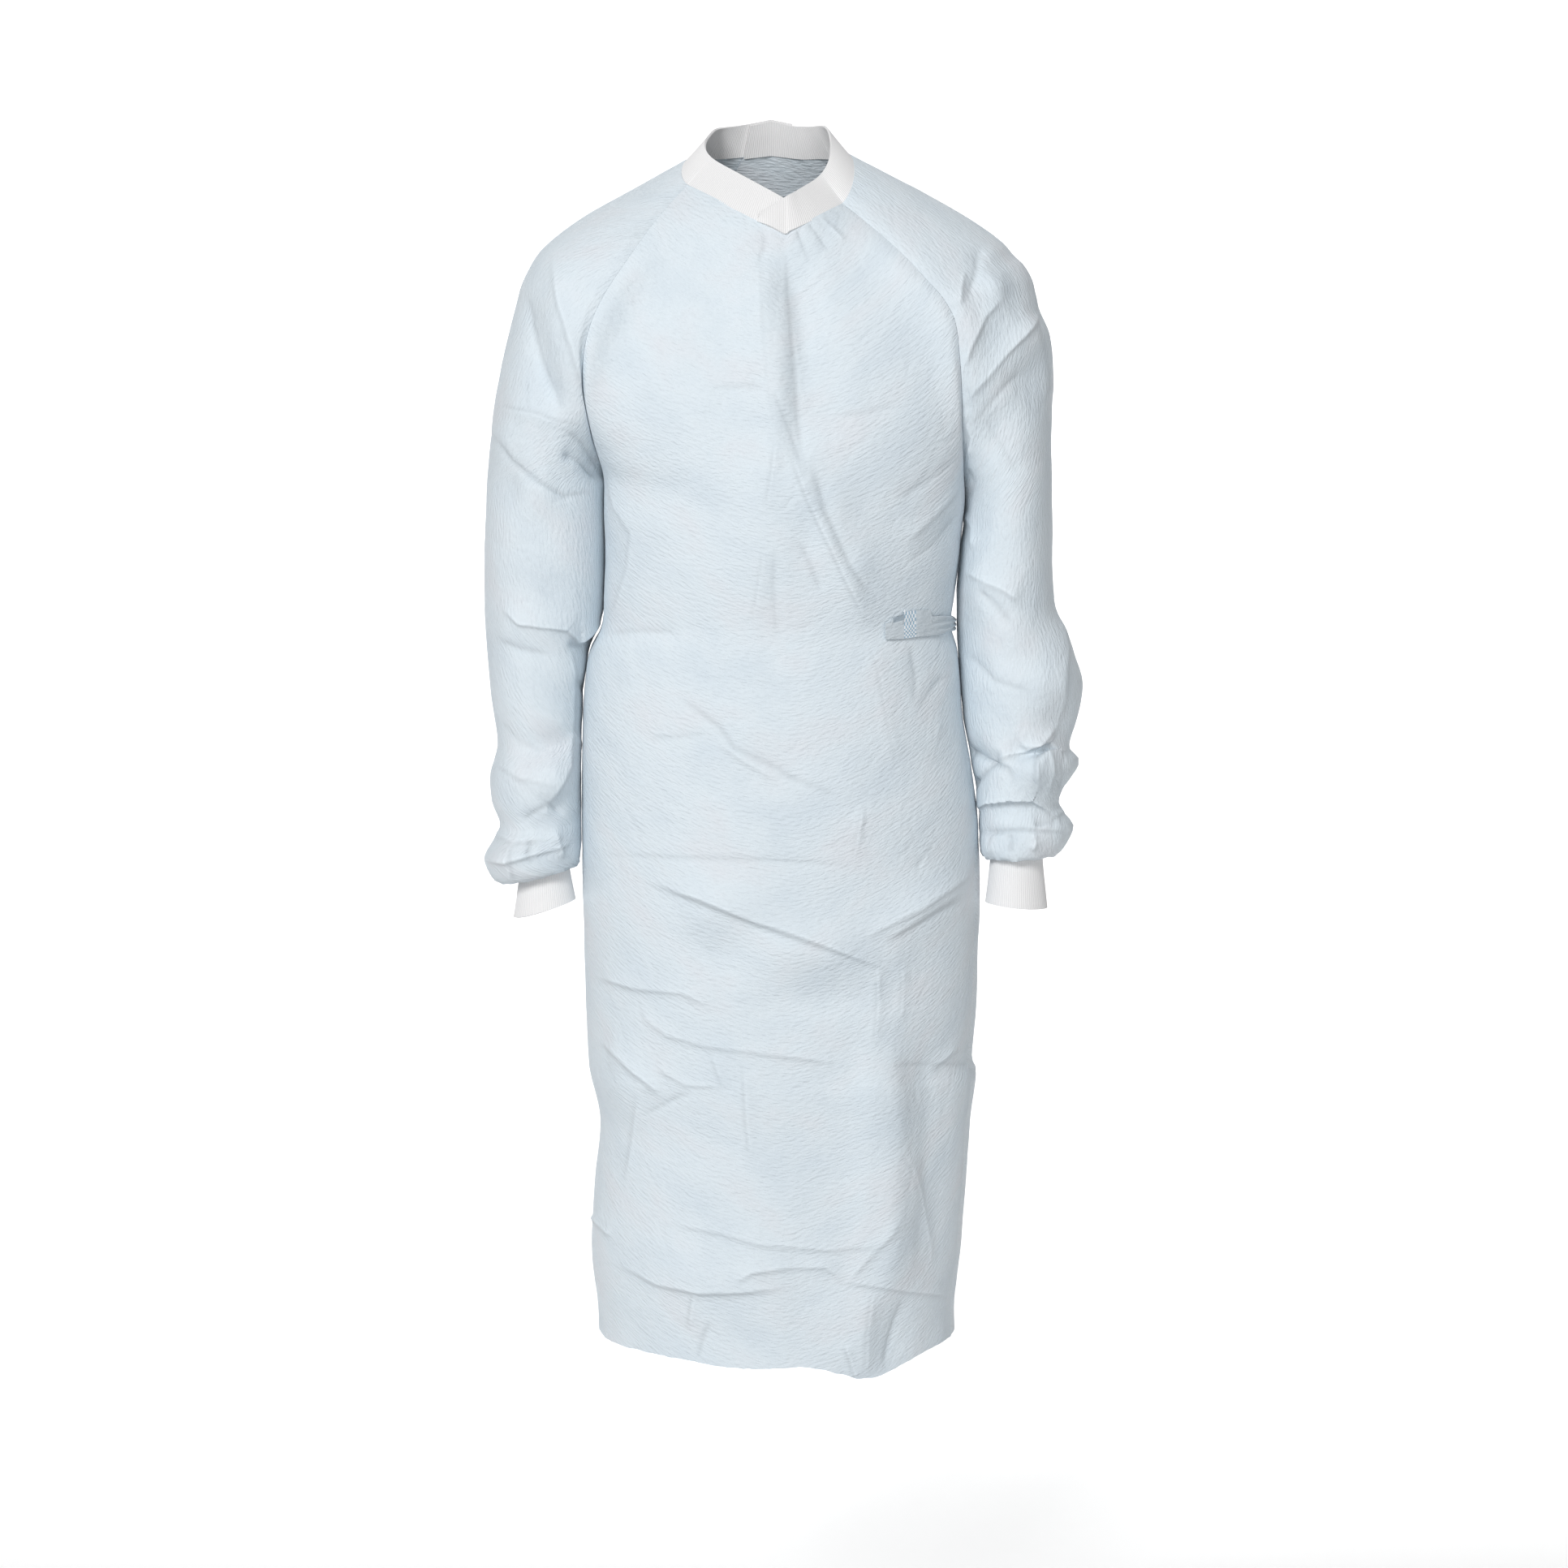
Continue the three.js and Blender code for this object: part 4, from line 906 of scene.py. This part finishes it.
# Rib-knit bands, folded double over their free edge
ribs = {
    "wall": 2.0 * mm, "pitch": 1.9 * mm, "rise": 0.28 * mm, "perRib": 6, "turn": 6,
    "ease": 40, "seamEase": 0.3, "lap": 2.2 * mm, "sharp": 0.7, "sway": 0.5 * mm, "swaySize": 0.03,
    "doubled": 0.08,
}
neckband = {
    "rows": 12, "cut": (0.37, 0.045), "area": 0.0108, "held": "stretched", "hangsFrom": ["front"],
}
cuff = {
    "rows": 14, "cut": (0.18, 0.058), "area": 0.0085, "held": "stretched", "hangsFrom": ["sleeve_left"],
}


def easeCorners(points, reach):
    # evens out corners along each row, most at the free edge, and keeps the ends
    pad = 3 * reach
    shares = np.exp(-0.5 * (np.arange(-pad, pad + 1) / reach) ** 2)
    first = 2 * points[:, :1] - points[:, pad:0:-1]
    last = 2 * points[:, -1:] - points[:, -2:-pad - 2:-1]
    long = np.concatenate((first, points, last), axis=1)
    columns = points.shape[1]
    eased = sum(share * long[:, k:k + columns] for k, share in enumerate(shares)) / shares.sum()
    spot = np.arange(columns)
    toEnd = smoothStep((np.minimum(spot, columns - 1 - spot) - pad) / pad)
    toSeam = np.linspace(1.0, ribs["seamEase"], len(points))[:, None]
    weight = (toEnd * toSeam)[..., None]
    return weight * eased + (1 - weight) * points


def makeBand(name, node, look, fromTop=True, freeFirst=True):
    coarse, closed = outerGrid(node, ribs["wall"], fromTop)
    if not freeFirst:
        coarse = coarse[::-1, ::-1]  # rows from the free edge to the seam
    length = np.linalg.norm(np.diff(coarse, axis=1), axis=-1).sum(axis=1).mean()
    count = round(length / ribs["pitch"])
    columns = count * ribs["perRib"] + 1
    points, normals, closed = refine(coarse, closed, look["rows"], columns)
    if not closed.all():
        points = easeCorners(points, ribs["ease"])
        normals = unitLength(np.cross(np.gradient(points, axis=0), np.gradient(points, axis=1)))
        points[-1] += ribs["lap"] * unitLength(points[-1] - points[-2])
    edges = edgeDistances(points)
    wave = np.cos(np.linspace(0, 2 * math.pi * count, columns))
    ridge = ribs["rise"] * (np.abs(0.5 + 0.5 * wave) ** ribs["sharp"] - 0.5)
    sway = ribs["sway"] * noiseAt(points, ribs["swaySize"], shift=noiseShift["sway"])
    outer = points + (ridge[None, :, None] + sway[..., None]) * normals
    inner = points - (ribs["wall"] + ridge[None, :, None] - sway[..., None]) * normals
    outward = unitLength(points[0] - points[1])
    middle, half = 0.5 * (outer[0] + inner[0]), 0.5 * (outer[0] - inner[0])
    turns = np.linspace(0, math.pi, ribs["turn"] + 2)[1:-1]
    radius = np.linalg.norm(half, axis=-1, keepdims=True)
    middle = middle - radius * outward
    fold = np.stack([middle + math.cos(t) * half + math.sin(t) * radius * outward for t in turns])
    loop = np.concatenate((outer[::-1], fold, inner))
    rows = len(loop)
    ringed = np.full(rows, bool(closed.all()))
    down = np.linspace(0, ribs["doubled"], rows)[:, None]
    uv = np.stack(np.broadcast_arrays(edges["left"].mean(axis=0), down), -1)
    quads = gridFaces(rows, columns, ringed, flip=True)
    seamQuads = gridFaces(2, columns, ringed[:2], flip=True)
    seamQuads = np.where(seamQuads < columns, seamQuads + (rows - 1) * columns, seamQuads - columns)
    quads = np.concatenate((quads, seamQuads))
    piece = addMesh(name, loop.reshape(-1, 3), quads, uv.reshape(-1, 2))
    # painted shade for the rib grooves: 0 in a groove, 1 on top of a rib
    tint = piece.data.color_attributes.new("groove", "FLOAT_COLOR", "POINT")
    shade = np.broadcast_to(0.5 + 0.5 * wave, (rows, columns)).reshape(-1)
    used = np.unique(quads)
    tint.data.foreach_set("color", np.repeat(shade[used], 4).astype(np.float32))
    closeBand(piece)
    piece.data.materials.append(ribKnit)
    declare(piece, node)


def closeBand(piece):
    # closes the two ends of an open band
    pick(piece)
    shell = bmesh.new()
    shell.from_mesh(piece.data)
    bmesh.ops.holes_fill(shell, edges=[e for e in shell.edges if e.is_boundary], sides=0)
    bmesh.ops.recalc_face_normals(shell, faces=shell.faces)
    bmesh.ops.triangulate(shell, faces=[f for f in shell.faces if len(f.verts) > 4])
    shell.to_mesh(piece.data)
    shell.free()
    bpy.ops.object.shade_smooth_by_angle(angle=smoothAngle["band"])


makeBand("rightNeckband", "neckband_right", neckband)
makeBand("leftNeckband", "neckband_left", neckband, fromTop=False)
makeBand("rightCuff", "cuff_right", {**cuff, "hangsFrom": ["sleeve_right"]}, freeFirst=False)
makeBand("leftCuff", "cuff_left", cuff, freeFirst=False)

# Waist ties
tieShape = {
    "thickness": 1.2 * mm, "rows": 15, "tailRows": 90, "crown": 0.5 * mm,
    "fold": 0.5 * mm, "foldAt": 0.36, "foldWidth": 0.05, "crumple": 0.5 * mm, "crumpleSize": 0.012,
    "bond": (21 * mm, 54 * mm), "bondRise": 6.5 * mm, "tuck": (8 * mm, 20 * mm), "tuckRise": 3.6 * mm,
    "riseFall": 2.2, "soft": 2 * mm,
    "bunch": (56 * mm, 84 * mm), "pleat": 1.3 * mm, "pleats": 2.5, "pleatTurn": 90,
}
frontTie = {"columns": 260, "cut": (0.3, 0.02), "area": 0.0046, "held": "stretched", "hangsFrom": ["front"]}
backTie = {
    "columns": 60, "cut": (0.06, 0.02), "area": 0.00065, "held": "stretched", "hangsFrom": ["back_right"],
}
tieTail = {"columns": 15, "cut": (0.02, 0.13), "area": 0.0016, "held": "hung", "hangsFrom": ["tie_knot"]}


def bell(values, low, high, soft):
    return smoothStep((values - low + soft) / soft) * smoothStep((high + soft - values) / soft)


def makeTie(name, node, look, bonded=False):
    coarse, closed = outerGrid(node, clothThickness["cad"])
    upright = "tail" in node
    rows = tieShape["tailRows" if upright else "rows"]
    points, normals, closed = refine(coarse, closed, rows, look["columns"])
    edges = edgeDistances(points)
    along, across = (edges["top"], edges["left"]) if upright else (edges["left"], edges["top"])
    width = across + (edges["right"] if upright else edges["bottom"])
    share = across / np.maximum(width, 1e-6)
    detail = tieShape["crown"] * np.sin(math.pi * share)
    detail -= tieShape["fold"] * np.exp(-(((share - tieShape["foldAt"]) / tieShape["foldWidth"]) ** 2))
    detail += tieShape["crumple"] * noiseAt(points, tieShape["crumpleSize"], shift=noiseShift["tie"])
    held = np.zeros(points.shape[:2])
    if bonded:
        start, end = tieShape["bunch"]
        bunched = smoothStep((along - start) / (end - start))
        turn = 2 * math.pi * tieShape["pleats"] * share + tieShape["pleatTurn"] * along
        detail += tieShape["pleat"] * bunched * np.sin(turn)
        rise = tieShape["bondRise"] * bell(along, *tieShape["bond"], tieShape["soft"])
        rise += tieShape["tuckRise"] * bell(along, *tieShape["tuck"], tieShape["soft"])
        points[..., 2] += rise * np.clip(1 - tieShape["riseFall"] * share, 0, 1)
        held = 1 - bunched
    moves, _ = clothMoves(points, normals, frontCreases, {}, held)
    points = points + moves + detail[..., None] * normals
    uv = np.stack((along, across), -1)
    piece = addMesh(name, points.reshape(-1, 3), gridFaces(*points.shape[:2], closed), uv.reshape(-1, 2))
    finishSheet(piece, tieShape["thickness"], bondedTieCloth if bonded else tieCloth)
    declare(piece, node)


makeTie("frontTie", "tie_front", frontTie, bonded=True)
makeTie("backTie", "tie_back", backTie)
makeTie("frontTieTail", "tie_tail_front", tieTail)
makeTie("backTieTail", "tie_tail_back", tieTail)

tieKnot = {
    "rows": 60, "columns": 97, "turn": 131, "across": 13 * mm, "tall": 11 * mm, "deep": 7.5 * mm,
    "bulge": 2.6, "wraps": 3, "groove": 0.3, "edge": 4, "slant": 1.5, "run": 0.02, "runFrom": 0.1,
    "cut": (0.036, 0.022), "area": 0.00078, "held": "folded", "hangsFrom": ["tie_front", "tie_back"],
}


def makeKnot():
    # the tie ends wrapped round each other: a barrel whose grooves are the edges of its wraps
    rows, columns = tieKnot["rows"], tieKnot["columns"]
    low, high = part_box("tie_knot")
    middle = (np.array(low) + np.array(high)) / 2
    turn = math.radians(tieKnot["turn"])
    outward = np.array((math.sin(turn), -math.cos(turn), 0.0))
    tangent = np.array((-outward[1], outward[0], 0.0))
    w = np.linspace(-1, 1, rows)[:, None]
    spin = np.linspace(0, 2 * math.pi, columns)[None]
    body = np.sqrt(np.maximum(0, 1 - np.abs(w) ** tieKnot["bulge"]))
    wrap = tieKnot["wraps"] * (w + 1) / 2 + tieKnot["slant"] * np.sin(spin) / (2 * math.pi)
    edge = np.abs((wrap % 1) - 0.5) * 2
    radius = body * (1 - tieKnot["groove"] * edge ** tieKnot["edge"])
    points = (middle + (tieKnot["across"] * w * np.ones_like(spin))[..., None] * tangent
              + (tieKnot["deep"] * radius * np.cos(spin))[..., None] * outward
              + (tieKnot["tall"] * radius * np.sin(spin))[..., None] * np.array((0, 0, 1.0)))
    closed = np.ones(rows, bool)
    points[:, -1] = points[:, 0]
    run = tieKnot["run"] * w + tieKnot["runFrom"]
    uv = np.stack(np.broadcast_arrays(run, tieKnot["tall"] * spin), -1).reshape(-1, 2)
    piece = addMesh("tieKnotWraps", points.reshape(-1, 3), gridFaces(rows, columns, closed), uv)
    mergeSeam(piece, turnOut=True)
    pick(piece)
    bpy.ops.object.shade_smooth()
    piece.data.materials.append(tieCloth)
    declare(piece, "tie_knot")


makeKnot()

# Floor, light and finish
studio = {
    "floor": -1.45, "front": -5.0, "back": 5.0, "top": 5.0, "half": 2.9, "bend": 1.2, "steps": 12,
    "white": (0.93, 0.93, 0.93), "near": (0.4, 0.4, 0.4), "glow": (-0.8, 0.8), "roughness": 0.9,
    "emission": (0.48, 0.48, 0.48, 1.0), "world": 0.36,
}
lamps = {
    "key": {"place": (-2.1, -5.2, 2.3), "target": (0.0, 0.0, -0.7), "size": 1.9, "power": 217},
    "fill": {"place": (0.8, -4.2, -0.7), "target": (0.0, 0.0, -0.9), "size": 2.2, "power": 30},
    "backdrop": {"place": (0.0, 2.6, 3.0), "target": (0.0, 4.6, -0.8), "size": 2.5, "power": 60},
}


def addStudio():
    profile = [(studio["front"], 0.0)]
    for k in range(studio["steps"] + 1):
        turn = math.radians(90 * k / studio["steps"])
        profile.append((studio["back"] - studio["bend"] * (1 - math.sin(turn)),
                        studio["bend"] * (1 - math.cos(turn))))
    profile.append((studio["back"], studio["top"]))
    points = [(side * studio["half"], y, studio["floor"] + z) for y, z in profile for side in (-1, 1)]
    quads = np.array([(2 * k, 2 * k + 1, 2 * k + 3, 2 * k + 2) for k in range(len(profile) - 1)])
    floor = addMesh("studioFloor", np.array(points), quads, np.array(points)[:, :2])
    pick(floor)
    bpy.ops.object.shade_smooth()
    material, tree, shader = newMaterial("paleFloor")
    spot = addNode(tree, "TexCoord", {}).outputs["Object"]
    depth = addNode(tree, "SeparateXYZ", {"Vector": spot}).outputs["Y"]
    near, far = studio["glow"]
    behind = addNode(tree, "MapRange", {"Value": depth, "From Min": near, "From Max": far}).outputs["Result"]
    feed(tree, shader, {
        "Base Color": addRamp(tree, behind, [(0.0, studio["near"]), (1.0, studio["white"])]),
        "Emission Strength": behind, "Emission Color": studio["emission"], "Roughness": studio["roughness"],
    })
    floor.data.materials.append(material)


def addLight(name, place, target, size, power):
    data = bpy.data.lights.new(name, "AREA")
    data.size = size
    data.energy = power
    lamp = bpy.data.objects.new(name, data)
    addAimed(lamp, place, target)
    lamp.visible_camera = False


def addWorld():
    world = bpy.data.worlds.new("studioWorld")
    world.use_nodes = True
    background = world.node_tree.nodes["Background"]
    feed(world.node_tree, background, {"Color": (1.0, 1.0, 1.0, 1.0), "Strength": studio["world"]})
    bpy.context.scene.world = world


addStudio()
for name, lamp in lamps.items():
    addLight(name, **lamp)
addWorld()
bpy.context.scene.view_settings.view_transform = "Standard"
